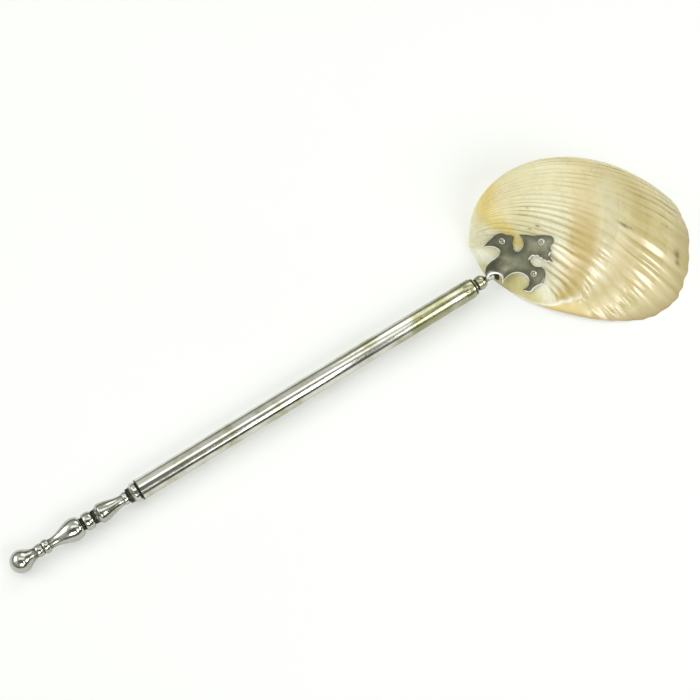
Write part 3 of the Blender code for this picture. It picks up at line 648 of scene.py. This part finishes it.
# %% Lathe curves
CURVE = np.linspace(0.0, 1.0, 15)


def swell(start, from_radius, end, to_radius):
    ease = 0.5 - 0.5 * np.cos(math.pi * CURVE)
    length, rise = end - start, to_radius - from_radius
    return [(start + s * length, from_radius + e * rise) for s, e in zip(CURVE, ease)]


def round_over(start, from_radius, end, to_radius):
    length, fall = end - start, from_radius - to_radius
    turn = 0.5 * math.pi * CURVE[1:]
    return [(start + length * math.sin(a), to_radius + fall * math.cos(a)) for a in turn]


def ring(start, length, foot, radius):
    turn = math.pi * CURVE
    return [(start + 0.5 * length * (1 - math.cos(a)), foot + (radius - foot) * math.sin(a)) for a in turn]


def ball(centre, radius, from_radius, to_radius):
    first, last = math.asin(from_radius / radius), math.pi - math.asin(to_radius / radius)
    turn = first + (last - first) * np.linspace(0.0, 1.0, 31)
    return [(centre - radius * math.cos(a), radius * math.sin(a)) for a in turn]


print("points on a swell and on a ball:", len(swell(0.0, 1.0, 2.0, 3.0)), len(ball(0.0, 3.0, 1.0, 1.0)))

# %% [markdown]
# Tarnish gathers where a polishing cloth can't reach. Each profile is therefore compared with a softened
# copy of itself, as soft as the cloth: where the copy is larger, the point lies in a groove, and that depth
# is painted on the mesh for the silver to darken. The round end of the handle is always rubbed bright.

# %% Spinning a profile
SIDES = 96
FULL_GROOVE = 0.5  # mm
CLOTH = 1.1  # mm, the softness for the handle's turnings


def spun(name, profile, seat, softness, bands=(), bright_to=-math.inf):
    """A closed turning about the seat's Z axis, from (station, radius) points in mm, with dark bands."""
    station, radius = np.array(profile).T
    span = np.abs(station[:, None] - station[None, :])
    travelled = np.maximum.accumulate(station) + 1e-6 * np.arange(len(station))
    near = np.exp(-((span / softness) ** 2)) * np.gradient(travelled)
    softened = (near * radius).sum(1) / near.sum(1)
    groove = np.clip((softened - radius) / FULL_GROOVE, 0.0, 1.0) * smooth_step(0.4, 1.2, radius / softness)
    groove[station < bright_to] = 0.0
    for start, end in bands:
        groove[(station > start) & (station < end)] = 1.0
    angle = 2.0 * math.pi * np.arange(SIDES) / SIDES
    points = np.stack([
        radius[:, None] * np.cos(angle),
        radius[:, None] * np.sin(angle),
        np.repeat(station[:, None], SIDES, axis=1),
    ], axis=-1) * MM
    mesh = woven_mesh(name, points, closed=True)
    paint(mesh, "groove", np.repeat(groove[:, None], SIDES, axis=1))
    welded = bmesh.new()
    welded.from_mesh(mesh)
    bmesh.ops.remove_doubles(welded, verts=welded.verts, dist=0.001 * MM)
    bmesh.ops.dissolve_degenerate(welded, edges=welded.edges, dist=0.0001 * MM)
    bmesh.ops.recalc_face_normals(welded, faces=welded.faces)
    welded.to_mesh(mesh)
    welded.free()
    mesh.transform(seat)
    mesh.shade_smooth()
    mesh.set_sharp_from_angle(angle=math.radians(35))
    return mesh


handle_seat = Matrix.Translation(ball_centre) @ Matrix.Rotation(0.5 * math.pi - rake, 4, "Y")
print("the handle rises", round(math.degrees(rake), 2), "degrees towards the bowl")

# %% [markdown]
# ## Polished silver
# Old silver plate is a warm, slightly green white. It was turned, buffed bright and then handled for
# years: the tube has an olive bloom that is thickest and dullest at the bowl, and the grooves have kept
# their dark tarnish. The finial's silver is painted darker and greyer, a painted shade that stands in for
# the darker reflections it shows. A metal keeps its default index, and its colour is its base colour.

# %% Silver material: buffed and tarnished
polished_silver, tree, shader = new_material("silver_buffed_tarnished")
place = add(tree, "TexCoord", out="Object")
station = add(tree, "SeparateXYZ", {"Vector": place}, out="X")
bloom = add(tree, "TexNoise", {"Vector": place, "Scale": 1 / (11 * MM), "Detail": 4.0, "Roughness": 0.65})
handled = add(tree, "MapRange", {
    "Value": station, "From Min": -8 * MM, "From Max": 24 * MM, "To Max": 0.12,
})
film = add(tree, "Math", {0: bloom, 1: handled}, operation="ADD")
silver = add(tree, "ValToRGB", {"Fac": film}, stops=[
    (0.36, "#DEDDD4"), (0.52, "#CFCEC3"), (0.64, "#B0AF94"), (0.78, "#95956F"),
])
# Painted shade: the finial's silver is darker and greyer, standing in for the darker reflections it shows.
greyed = add(tree, "MapRange", {
    "Value": station, "From Min": -68 * MM, "From Max": -76 * MM, "To Max": 0.75,
})
print("tones of the bloom:", len(silver.node.color_ramp.elements))

# %% [markdown]
# A few pits and fine rubbing lines along the handle are what years of use leave. The lines change the gloss
# from streak to streak, so a highlight on the tube isn't one clean bar.

# %% Tarnish, pits and gloss of the silver
groove = add(tree, "Attribute", out="Fac", attribute_name="groove")
cells = add(tree, "TexVoronoi", {"Vector": place, "Scale": 1 / (2.2 * MM), "Randomness": 1.0})
pit = add(tree, "MapRange", {"Value": cells, "From Min": 0.09, "From Max": 0.05})
sparse = add(tree, "MapRange", {"Value": bloom, "From Min": 0.55, "From Max": 0.62})
pitted = add(tree, "Math", {0: pit, 1: sparse}, operation="MULTIPLY")
dark = add(tree, "Math", {0: groove, 1: pitted}, operation="MAXIMUM")
tarnish = add(tree, "MapRange", {"Value": dark, "From Min": 0.06, "From Max": 0.5, "To Max": 0.95})
colour = coated(tree, silver, [(greyed, "#AEB0A6"), (tarnish, "#2A291F")])
# Rubbing lines are a few hundredths of a millimetre apart. They are drawn 0.3 mm apart, so that they show.
drawn_out = (1 / (30 * MM), 1 / (0.3 * MM), 1 / (0.3 * MM))
along = add(tree, "Mapping", {"Vector": place, "Scale": drawn_out})
rubbing = add(tree, "TexNoise", {"Vector": along, "Scale": 1.0, "Detail": 2.0})
gloss = add(tree, "MapRange", {
    "Value": rubbing, "From Min": 0.3, "From Max": 0.7, "To Min": 0.1, "To Max": 0.22,
})
scuffed = add(tree, "Math", {0: handled, 1: 0.9, 2: gloss}, operation="MULTIPLY_ADD")
dulled = add(tree, "Math", {0: tarnish, 1: 0.3, 2: scuffed}, operation="MULTIPLY_ADD")
bump = add(tree, "Bump", {"Height": rubbing, "Strength": 0.12, "Distance": 0.05 * MM})
feed(shader, {"Base Color": colour, "Metallic": 1.0, "Roughness": dulled, "Normal": bump})
print("nodes in the silver:", len(tree.nodes))

# %% [markdown]
# The finial is three turnings: a knop with a pear-shaped ball, two rings, a long baluster and a bead, then
# a vase, then the collar that closes the tube. They meet in the straight dark bands of the photograph.
# Stations and radii are in millimetres, counted from the middle of the ball.

# %% Finial
knop_profile = (
    [(-3.1, 0.0)]
    + ball(0.0, 3.1, 0.0, 3.1)[1:]
    + swell(0.0, 3.1, 4.2, 1.4)[1:]
    + ring(4.2, 1.9, 1.4, 1.75)[1:]
    + ring(6.1, 1.9, 1.4, 1.95)[1:]
    + swell(8.6, 1.35, 15.29, 3.1)
    + round_over(15.29, 3.1, 17.4, 1.9)
    + [(17.55, 1.72), (17.95, 1.72)]
    + ring(18.1, 2.5, 1.9, 2.45)
    + [(20.62, 1.8), (20.75, 1.75), (20.75, 0.0)]
)
vase_profile = (
    [(20.78, 0.0), (20.78, 1.75), (20.95, 1.9), (21.6, 1.9)]
    + swell(21.7, 1.95, 23.0, 2.7)
    + swell(23.0, 2.7, 29.8, 1.45)[1:]
    + ring(29.8, 1.2, 1.45, 1.8)[1:]
    + [(31.15, 1.5), (31.15, 0.0)]
)
collar_profile = (
    [(31.2, 0.0), (31.2, 1.9), (31.35, 2.05), (32.05, 2.05)]
    + swell(32.1, 2.1, 33.1, 2.75)
    + [(33.85, 2.75), (34.02, 2.62), (34.1, 2.3), (34.3, 2.3), (34.3, 0.0)]
)
FINIAL_JOINTS = [(17.5, 18.0), (20.6, 21.65), (31.0, 32.08), (33.95, 34.6)]
for name, profile in (
    ("finial_knop", knop_profile), ("finial_baluster", vase_profile), ("finial_collar", collar_profile),
):
    turned = spun(name, profile, handle_seat, CLOTH, FINIAL_JOINTS, bright_to=0.0)
    put_in_place(name, turned, polished_silver)

# %% [markdown]
# The tube is drawn silver with a rolled edge at each end. It narrows a little towards the bowl. The neck
# is a flange, a ball and a waist that flares under the leaf.

# %% Tube and neck
tube_profile = [
    (34.35, 0.0), (34.35, 2.6), (34.4, 2.88), (34.5, 2.94), (34.7, 2.95), (90.0, 2.95), (138.6, 2.83),
    (138.7, 2.78), (138.85, 2.78), (138.95, 2.82), (141.6, 2.8), (141.8, 2.74), (141.86, 2.6), (141.86, 0.0),
]
neck_profile = (
    [(141.9, 0.0), (141.9, 1.9), (142.2, 1.9)]
    + ring(142.2, 0.7, 1.6, 2.5)[1:]
    + ball(144.76, 2.1, 1.6, 0.85)
    + [(t, 0.85 + 1.95 - r) for t, r in round_over(146.68, 1.95, 149.78, 0.85)]
    + [(150.05, 1.95), (150.08, 1.9), (150.08, 0.0)]
)
TUBE_JOINTS = [(34.0, 34.6), (148.9, 150.2)]
for name, profile in (("handle_tube", tube_profile), ("neck", neck_profile)):
    turned = spun(name, profile, handle_seat, CLOTH, TUBE_JOINTS)
    put_in_place(name, turned, polished_silver)

# %% [markdown]
# ## The leaf plate
# The plate was sawn from sheet to a leafy outline, filed round at the edges and beaten down over the
# shell, with its tongue raised into an arch over the neck. Here the outline is drawn on a blank that leans
# to the near side, filled with small triangles, and every point is then dropped on to the shell.

# %% Outline of the leaf
TONGUE = [
    (1.7, -2.4), (1.2, -0.7), (-1.4, -0.5), (-2.8, -1.8), (-3.0, 0.1), (-2.5, 1.5), (-1.2, 2.9), (0.6, 4.3),
]
HEEL_LOBE = [
    (1.4, 5.9), (0.3, 7.3), (-2.9, 7.8), (-1.7, 9.3), (1.0, 11.1),
    (2.8, 10.5), (4.4, 10.2), (4.4, 8.2), (5.5, 5.9),
]
TIP_LOBE = [
    (7.0, 6.7), (7.4, 8.5), (6.1, 10.6), (8.0, 10.4), (10.0, 10.1), (13.5, 10.2), (14.9, 9.8), (15.4, 8.7),
    (15.0, 7.6), (14.4, 7.2), (14.9, 5.9), (14.4, 4.3), (15.2, 3.0), (14.3, 3.2), (13.8, 3.05), (13.2, 3.5),
    (12.7, 3.5), (12.2, 4.1), (11.7, 4.15), (11.2, 4.75), (10.6, 4.6), (10.2, 4.85), (9.7, 4.55), (9.2, 3.5),
    (10.9, 1.7),
]
SIDE_LOBE = [
    (12.6, 1.5), (13.5, 0.0), (13.1, -2.8), (11.1, -3.9), (9.9, -5.1), (7.8, -4.5),
    (9.2, -3.6), (9.2, -1.7), (7.9, -0.2), (5.7, 0.3), (3.5, -0.4),
]
CORNERS = [
    TONGUE[0], TONGUE[3], HEEL_LOBE[2], TIP_LOBE[2], TIP_LOBE[10], TIP_LOBE[13], SIDE_LOBE[2], SIDE_LOBE[5],
]


def leaf_outline():
    """The outline as a closed run of points, in metres on the blank."""
    curve = bpy.data.curves.new("leaf_outline", "CURVE")
    curve.dimensions = "2D"
    curve.fill_mode = "NONE"
    curve.resolution_u = 14
    knots = TONGUE + HEEL_LOBE + TIP_LOBE + SIDE_LOBE
    spline = curve.splines.new("BEZIER")
    spline.bezier_points.add(len(knots) - 1)
    spline.use_cyclic_u = True
    for point, place in zip(spline.bezier_points, knots):
        point.co = (place[0] * MM, place[1] * MM, 0.0)
        handles = "VECTOR" if place in CORNERS else "AUTO"
        point.handle_left_type = handles
        point.handle_right_type = handles
    drawn = bpy.data.objects.new("leaf_outline", curve)
    scene.collection.objects.link(drawn)
    bpy.context.view_layer.update()
    mesh = bpy.data.meshes.new_from_object(drawn.evaluated_get(bpy.context.evaluated_depsgraph_get()))
    run = np.array([vertex.co[:2] for vertex in mesh.vertices])
    bpy.data.objects.remove(drawn)
    kept = [i for i in range(len(run)) if np.linalg.norm(run[i] - run[i - 1]) > 0.004 * MM]
    return run[kept]


outline = leaf_outline()
ahead = np.roll(outline, -1, axis=0)
heading = ahead - np.roll(outline, 1, axis=0)
heading /= np.linalg.norm(heading, axis=1)[:, None]
twice_area = float(np.sum(outline[:, 0] * ahead[:, 1] - outline[:, 1] * ahead[:, 0]))
OUTLINE_TURN = math.copysign(1.0, twice_area)
print("outline points:", len(outline), "and its area, mm2:", round(abs(twice_area) / 2 / MM**2))

# %% [markdown]
# The bed that the plate lies on is found by dropping a ray from each point of the blank on to the rib
# crests. Over the neck's flare it rises to an arch instead, and a smooth blend joins the two.

# %% Bed of the leaf
FLARE_STATION = 150.08 * MM
FLARE_RADIUS = 1.95 * MM
SEAT_GAP = 0.3 * MM
CREST_RISE = 0.41 * MM
ARCH_FALL = 0.7
BLEND = 1.2 * MM
flare_height = BALL_RADIUS + FLARE_STATION * math.tan(rake)
leaf_frame = (
    Matrix.Translation((ball_centre.x + FLARE_STATION, ball_centre.y, flare_height))
    @ Matrix.Rotation(math.radians(-34), 4, "Z")
    @ Matrix.Rotation(math.radians(27), 4, "X")
)
along_handle = leaf_frame.inverted().to_3x3() @ Vector((math.cos(rake), 0.0, math.sin(rake)))


def crest_tree():
    """A search tree of the shell's rib crests, a seat's gap outside them, in the leaf's own frame."""
    crests = woven_mesh("crests", shell_points(fan, coil, CREST_RISE * rib_ground)[::2, ::2])
    crests.transform(leaf_frame.inverted() @ shell_seat)
    raised = bmesh.new()
    raised.from_mesh(crests)
    raised.normal_update()
    for vertex, normal in [(vertex, vertex.normal.copy()) for vertex in raised.verts]:
        vertex.co += SEAT_GAP * normal * math.copysign(1.0, normal.z)
    found = BVHTree.FromBMesh(raised)
    raised.free()
    bpy.data.meshes.remove(crests)
    return found


crests = crest_tree()


def bed_level(x, y):
    hit = crests.ray_cast(Vector((x, y, 0.1)), Vector((0.0, 0.0, -1.0)))[0]
    on_shell = hit.z if hit else -0.1
    seen = along_handle.to_2d().length
    off_axis = (along_handle.x * y - along_handle.y * x) / seen
    axis_level = (along_handle.x * x + along_handle.y * y) * along_handle.z / seen**2
    arch = FLARE_RADIUS + SEAT_GAP
    over_flare = axis_level + arch / seen * (1.0 - ARCH_FALL * (off_axis / arch) ** 2)
    return 0.5 * (on_shell + over_flare + math.hypot(on_shell - over_flare, BLEND))


def bed_normal(x, y):
    reach = 0.4 * MM
    slope_x = (bed_level(x + reach, y) - bed_level(x - reach, y)) / (2.0 * reach)
    slope_y = (bed_level(x, y + reach) - bed_level(x, y - reach)) / (2.0 * reach)
    return Vector((-slope_x, -slope_y, 1.0)).normalized()


print("bed under the heel rivet, mm:", round(bed_level(1.9 * MM, 9.2 * MM) / MM, 2))

# %% [markdown]
# Sheet metal doesn't take every small corner of what it is beaten over. The bed is therefore sampled on a
# fine grid and softened, and the plate reads its level and its slope from that.

# %% Softened bed
CELL = 0.2 * MM
SOFTENING = 0.5 * MM
KERNEL_REACH = 9  # cells
BED_BORDER = 2.0 * MM
BED_FLOOR = -4.0 * MM
bed_low = outline.min(0) - BED_BORDER
columns, rows = [int(n) for n in np.ceil((outline.max(0) + BED_BORDER - bed_low) / CELL)]
levels = np.array([
    [bed_level(bed_low[0] + i * CELL, bed_low[1] + j * CELL) for j in range(rows)] for i in range(columns)
])
levels = np.maximum(levels, BED_FLOOR)
kernel = np.exp(-0.5 * (np.arange(-KERNEL_REACH, KERNEL_REACH + 1) * CELL / SOFTENING) ** 2)
kernel /= kernel.sum()
for axis in (0, 1):
    border = [(KERNEL_REACH, KERNEL_REACH) if side == axis else (0, 0) for side in (0, 1)]
    padded = np.pad(levels, border, mode="edge")
    levels = np.apply_along_axis(np.convolve, axis, padded, kernel, mode="valid")
slopes = np.gradient(levels, CELL)


def read_grid(grid, places):
    """Values of a grid at places on the blank, blended between its points."""
    spot = (places - bed_low) / CELL
    i, j = np.floor(spot).astype(int).T
    u, v = (spot - np.floor(spot)).T
    return (
        grid[i, j] * (1 - u) * (1 - v) + grid[i + 1, j] * u * (1 - v)
        + grid[i, j + 1] * (1 - u) * v + grid[i + 1, j + 1] * u * v
    )


print("bed grid:", levels.shape)

# %% [markdown]
# The outline is filled with triangles. A few rows of points follow the edge closely, because the filed
# round needs them, and an even field fills the rest. A constrained Delaunay triangulation joins them and
# keeps every step of the outline as an edge.

# %% Filling the outline
EDGE_ROWS = (0.03, 0.07, 0.13, 0.22, 0.3, 0.4, 0.5)  # mm in from the outline
FIELD_CELL = 0.24 * MM
FIELD_START = 0.56 * MM


def distance_to(places, run, closed):
    """Distance of each place from a run of points joined by straight lines."""
    start = run if closed else run[:-1]
    end = np.roll(run, -1, axis=0) if closed else run[1:]
    edge = end - start
    share = ((places[:, None] - start) * edge).sum(2) / (edge**2).sum(1)
    foot = start + np.clip(share, 0.0, 1.0)[:, :, None] * edge
    return np.linalg.norm(places[:, None] - foot, axis=2).min(1)


def inside_outline(places):
    x, y = places[:, 0, None], places[:, 1, None]
    spans = (outline[:, 1] > y) != (ahead[:, 1] > y)
    rise = np.where(ahead[:, 1] == outline[:, 1], 1e-12, ahead[:, 1] - outline[:, 1])
    cross = outline[:, 0] + (y - outline[:, 1]) / rise * (ahead[:, 0] - outline[:, 0])
    return (spans & (x < cross)).sum(1) % 2 == 1


def filled_outline():
    """The outline's points, the rows along it and the field inside them, joined by triangles."""
    spans = [np.arange(low, high, FIELD_CELL) for low, high in zip(outline.min(0), outline.max(0))]
    field = np.stack(np.meshgrid(*spans), axis=-1).reshape(-1, 2)
    field = field[inside_outline(field)]
    field = field[distance_to(field, outline, True) > FIELD_START]
    inward = np.stack([-heading[:, 1], heading[:, 0]], axis=1)
    kept = []
    for depth in EDGE_ROWS:
        row = outline + OUTLINE_TURN * depth * MM * inward
        row = row[inside_outline(row)]
        kept.append(row[distance_to(row, outline, True) > 0.85 * depth * MM])
    places = np.concatenate([outline, *kept, field])
    count = len(outline)
    edges = [(i, (i + 1) % count) for i in range(count)]
    made = delaunay_2d_cdt([Vector(p) for p in places.tolist()], edges, [], 1, 1e-9)
    return np.array([v[:] for v in made[0]]), made[2]


places, triangles = filled_outline()
from_edge = distance_to(places, outline, True) / MM
print("points and triangles on the blank:", len(places), len(triangles))

# %% [markdown]
# The face is crowned: it is thickest in the middle of each lobe and rounds over at the filed edge, so the
# distance of each point from the outline sets its thickness. The tongue has a raised lug and lip, and
# chased strokes are cut into it. The edges that face the viewer, and the tongue's lip, get a painted
# highlight, a bright band just inside the filed round. The inner corner behind the tip gets little of it.

# %% Thickness and bright edges of the leaf
PLATE_THICKNESS = 0.7  # this and the next six are in mm
EDGE_ROUND = 0.24
CROWN = 0.16
LUG_RISE = 0.16
LIP_RISE = 0.14
STROKE_DEPTH = 0.2
STROKE_WIDTH = 0.17
STROKES = [
    [(-2.6, 0.5), (-2.1, 1.8), (-0.9, 2.7), (0.6, 2.8), (1.6, 2.1), (2.0, 1.2)],
    [(-0.55, 1.9), (-0.35, 2.05)],
    [(0.95, 1.8), (1.1, 1.95)],
]
leaf_lip = hump(distance_to(places, np.array(TONGUE[:4]) * MM, False) / MM, 0.0, 0.5)
lug = hump(np.linalg.norm(places / MM - (-0.3, 1.0), axis=1), 0.0, 1.6)
onto_round = np.clip(from_edge / EDGE_ROUND, 0.0, 1.0)
thick = PLATE_THICKNESS - CROWN - EDGE_ROUND + EDGE_ROUND * np.sqrt(1.0 - (1.0 - onto_round) ** 2)
thick += CROWN * smooth_step(0.1, 1.6, from_edge)
thick += LUG_RISE * lug + LIP_RISE * leaf_lip
for stroke in STROKES:
    off_stroke = distance_to(places, np.array(stroke) * MM, False) / MM
    thick -= STROKE_DEPTH * hump(off_stroke, 0.0, STROKE_WIDTH)
closest = np.linalg.norm(places[:, None] - outline, axis=2).argmin(1)
# Painted highlight: bright bands on the edges where the outline faces the viewer, and on the tongue's lip.
facing_viewer = smooth_step(0.05, 0.6, heading[closest, 0] * OUTLINE_TURN)
x, y = places.T / MM
highlight_kept = 1.0 - 0.85 * smooth_step(5.2, 6.4, y) * smooth_step(3.6, 4.4, x)
painted_edge_highlight = facing_viewer * smooth_step(0.42, 0.28, from_edge) * smooth_step(0.01, 0.06, from_edge) * highlight_kept
painted_edge_highlight = np.maximum(painted_edge_highlight, leaf_lip * smooth_step(1.0, 0.6, from_edge))
print("thinnest and thickest, mm:", [round(float(t), 2) for t in (thick.min(), thick.max())])

# %% [markdown]
# Each point now goes down to its bed, and a second point stands on it by the thickness, square to the bed.
# The two sheets of triangles are closed by walls along the outline.

# %% Leaf plate
def make_plate():
    bed = np.column_stack([places, read_grid(levels, places)])
    square = [-read_grid(slopes[0], places), -read_grid(slopes[1], places), np.ones(len(places))]
    square = np.column_stack(square)
    square /= np.linalg.norm(square, axis=1)[:, None]
    top = bed + square * thick[:, None] * MM
    count = len(places)
    sides = {(t[i - 1], t[i]) for t in triangles for i in range(3)}
    walls = [(b, a, a + count, b + count) for a, b in sides if (b, a) not in sides]
    under = [tuple(i + count for i in t[::-1]) for t in triangles]
    mesh = bpy.data.meshes.new("mount_plate_finish")
    mesh.from_pydata(np.concatenate([top, bed]).tolist(), [], [tuple(t) for t in triangles] + under + walls)
    paint(mesh, "edge", np.concatenate([from_edge, np.zeros(count)]))
    # The painted edge highlight, on the top sheet only.
    paint(mesh, "edge_highlight", np.concatenate([painted_edge_highlight, np.zeros(count)]))
    # Darker on the tongue's lug. On the walls and underside this is painted shade, the shadow line under the
    # edges.
    paint(mesh, "dark_lug_and_underside_shade", np.concatenate([lug * (1.0 - leaf_lip), np.ones(count)]))
    turned_out = bmesh.new()
    turned_out.from_mesh(mesh)
    bmesh.ops.recalc_face_normals(turned_out, faces=turned_out.faces)
    turned_out.to_mesh(mesh)
    turned_out.free()
    mesh.transform(leaf_frame)
    mesh.shade_smooth()
    mesh.set_sharp_from_angle(angle=math.radians(60))
    return mesh


plate_mesh = make_plate()
print("faces on the plate:", len(plate_mesh.polygons))

# %% [markdown]
# ## Oxidised silver
# The plate was darkened all over: the flat face is a soft, cloudy dark grey with a satin sheen, and darker
# on the chased tongue's lug. Painted shade darkens it towards its edges and on its walls and underside, and
# the edges that face the viewer carry a painted highlight. The distance from the edge, the highlight and
# the darkening that were painted on the mesh drive all of it.

# %% Plate material: oxidised silver with a painted edge highlight
oxidised_silver, tree, shader = new_material("silver_oxidised_edge_highlights")
place = add(tree, "TexCoord", out="Object")
edge = add(tree, "Attribute", out="Fac", attribute_name="edge")
edge_highlight = add(tree, "Attribute", out="Fac", attribute_name="edge_highlight")
dark_lug_and_underside_shade = add(tree, "Attribute", out="Fac", attribute_name="dark_lug_and_underside_shade")
cloud = add(tree, "TexNoise", {"Vector": place, "Scale": 1 / (4 * MM), "Detail": 4.0, "Roughness": 0.6})
face = add(tree, "ValToRGB", {"Fac": cloud}, stops=[(0.34, "#70705C"), (0.5, "#8A8A73"), (0.68, "#9C9C86")])
# Painted shade: darker towards the edges, within about 1.8 mm of the outline.
shade = add(tree, "MapRange", {"Value": edge, "From Min": 1.8, "From Max": 0.1, "To Max": 0.85})
# The lug is darkened, and the walls and underside carry painted shade.
film = add(tree, "Math", {0: dark_lug_and_underside_shade, 1: 0.75}, operation="MULTIPLY")
plate_coats = [(shade, "#5E5E50"), (film, "#45443A"), (edge_highlight, "#FBFAF2")]
colour = coated(tree, face, plate_coats)
# Where the edge highlight is painted, the plate is less metallic, so its near-white colour shows.
metal_share_at_highlight = add(tree, "Math", {0: edge_highlight, 1: -0.7, 2: 1.0}, operation="MULTIPLY_ADD")
satin = add(tree, "MapRange", {"Value": cloud, "To Min": 0.54, "To Max": 0.66})
burnished = add(tree, "Math", {0: edge_highlight, 1: -0.22, 2: satin}, operation="MULTIPLY_ADD")
grain = add(tree, "TexNoise", {"Vector": place, "Scale": 1 / (0.35 * MM), "Detail": 2.0})
bump = add(tree, "Bump", {"Height": grain, "Strength": 0.08, "Distance": 0.03 * MM})
feed(shader, {"Base Color": colour, "Metallic": metal_share_at_highlight, "Roughness": burnished, "Normal": bump})
put_in_place("mount_plate", plate_mesh, oxidised_silver)

# %% [markdown]
# ## Rivets and burrs
# Three rivets go through plate and shell. They are cut from silver wire, a little duller than the handle,
# with dark tarnish where the punch left a groove.

# %% Rivet material: punched silver
rivet_silver, tree, shader = new_material("silver_rivet_punched")
place = add(tree, "TexCoord", out="Object")
groove = add(tree, "Attribute", out="Fac", attribute_name="groove")
mottle = add(tree, "TexNoise", {"Vector": place, "Scale": 1 / (0.8 * MM), "Detail": 2.0})
bright = add(tree, "ValToRGB", {"Fac": mottle}, stops=[(0.35, "#B9B8A8"), (0.65, "#D2D1C3")])
settled = add(tree, "MapRange", {"Value": groove, "From Min": 0.05, "From Max": 0.3, "To Max": 0.75})
colour = coated(tree, bright, [(settled, "#47463A")])
rough = add(tree, "MapRange", {"Value": mottle, "To Min": 0.36, "To Max": 0.5})
feed(shader, {"Base Color": colour, "Metallic": 1.0, "Roughness": rough})
print("nodes in the rivet silver:", len(tree.nodes))

# %% [markdown]
# Each head was set with a cupped punch, which leaves a small dome in a ring. Inside the bowl each rivet is
# closed over a burr, a washer that spreads the load on the brittle shell. The burrs of the solid model say
# how long each rivet has to be.

# %% Rivets and burrs
RIVETS = {"heel": (1.9, 9.2), "tip": (12.1, 8.6), "side": (10.6, 0.1)}  # mm on the blank
PUNCH = 0.18  # mm, the softness for these small profiles
TAIL_GAP = 0.05  # mm
HEAD = [
    (1.1, 0.0), (1.09, 0.12), (1.04, 0.26), (0.94, 0.38), (0.86, 0.46), (0.86, 0.56), (0.93, 0.66),
    (0.93, 0.74), (0.86, 0.86), (0.76, 0.93), (0.66, 0.95),
]


def rivet_seat(x, y):
    foot = Vector((x * MM, y * MM, bed_level(x * MM, y * MM)))
    square = bed_normal(foot.x, foot.y).to_track_quat("Z", "Y").to_matrix().to_4x4()
    return leaf_frame @ Matrix.Translation(foot) @ square


def burr_faces(name, seat):
    """Levels of the burr's outer and inner faces from the plate's underside in mm, measured on its solid."""
    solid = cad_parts["burr_" + name].data
    heights = [(seat.inverted() @ vertex.co).z for vertex in solid.vertices]
    return max(heights) / MM, min(heights) / MM


for name, (x, y) in RIVETS.items():
    seat = rivet_seat(x, y)
    burr_top, burr_end = burr_faces(name, seat)
    tail = burr_end - TAIL_GAP
    shank = [
        (0.6, 0.5), (tail, 0.5), (tail, 0.8), (tail - 0.15, 0.78), (tail - 0.3, 0.6), (tail - 0.4, 0.3),
        (tail - 0.42, 0.0),
    ]
    burr = [
        (burr_top - 0.08, 0.6), (burr_top, 0.68), (burr_top, 1.42), (burr_top - 0.08, 1.5),
        (burr_end + 0.12, 1.5), (burr_end, 1.38), (burr_end, 0.68), (burr_end + 0.08, 0.6),
        (burr_top - 0.08, 0.6),
    ]
    for piece, profile in (("rivet_" + name, HEAD + shank), ("burr_" + name, burr)):
        put_in_place(piece, spun(piece, profile, seat, PUNCH), rivet_silver)
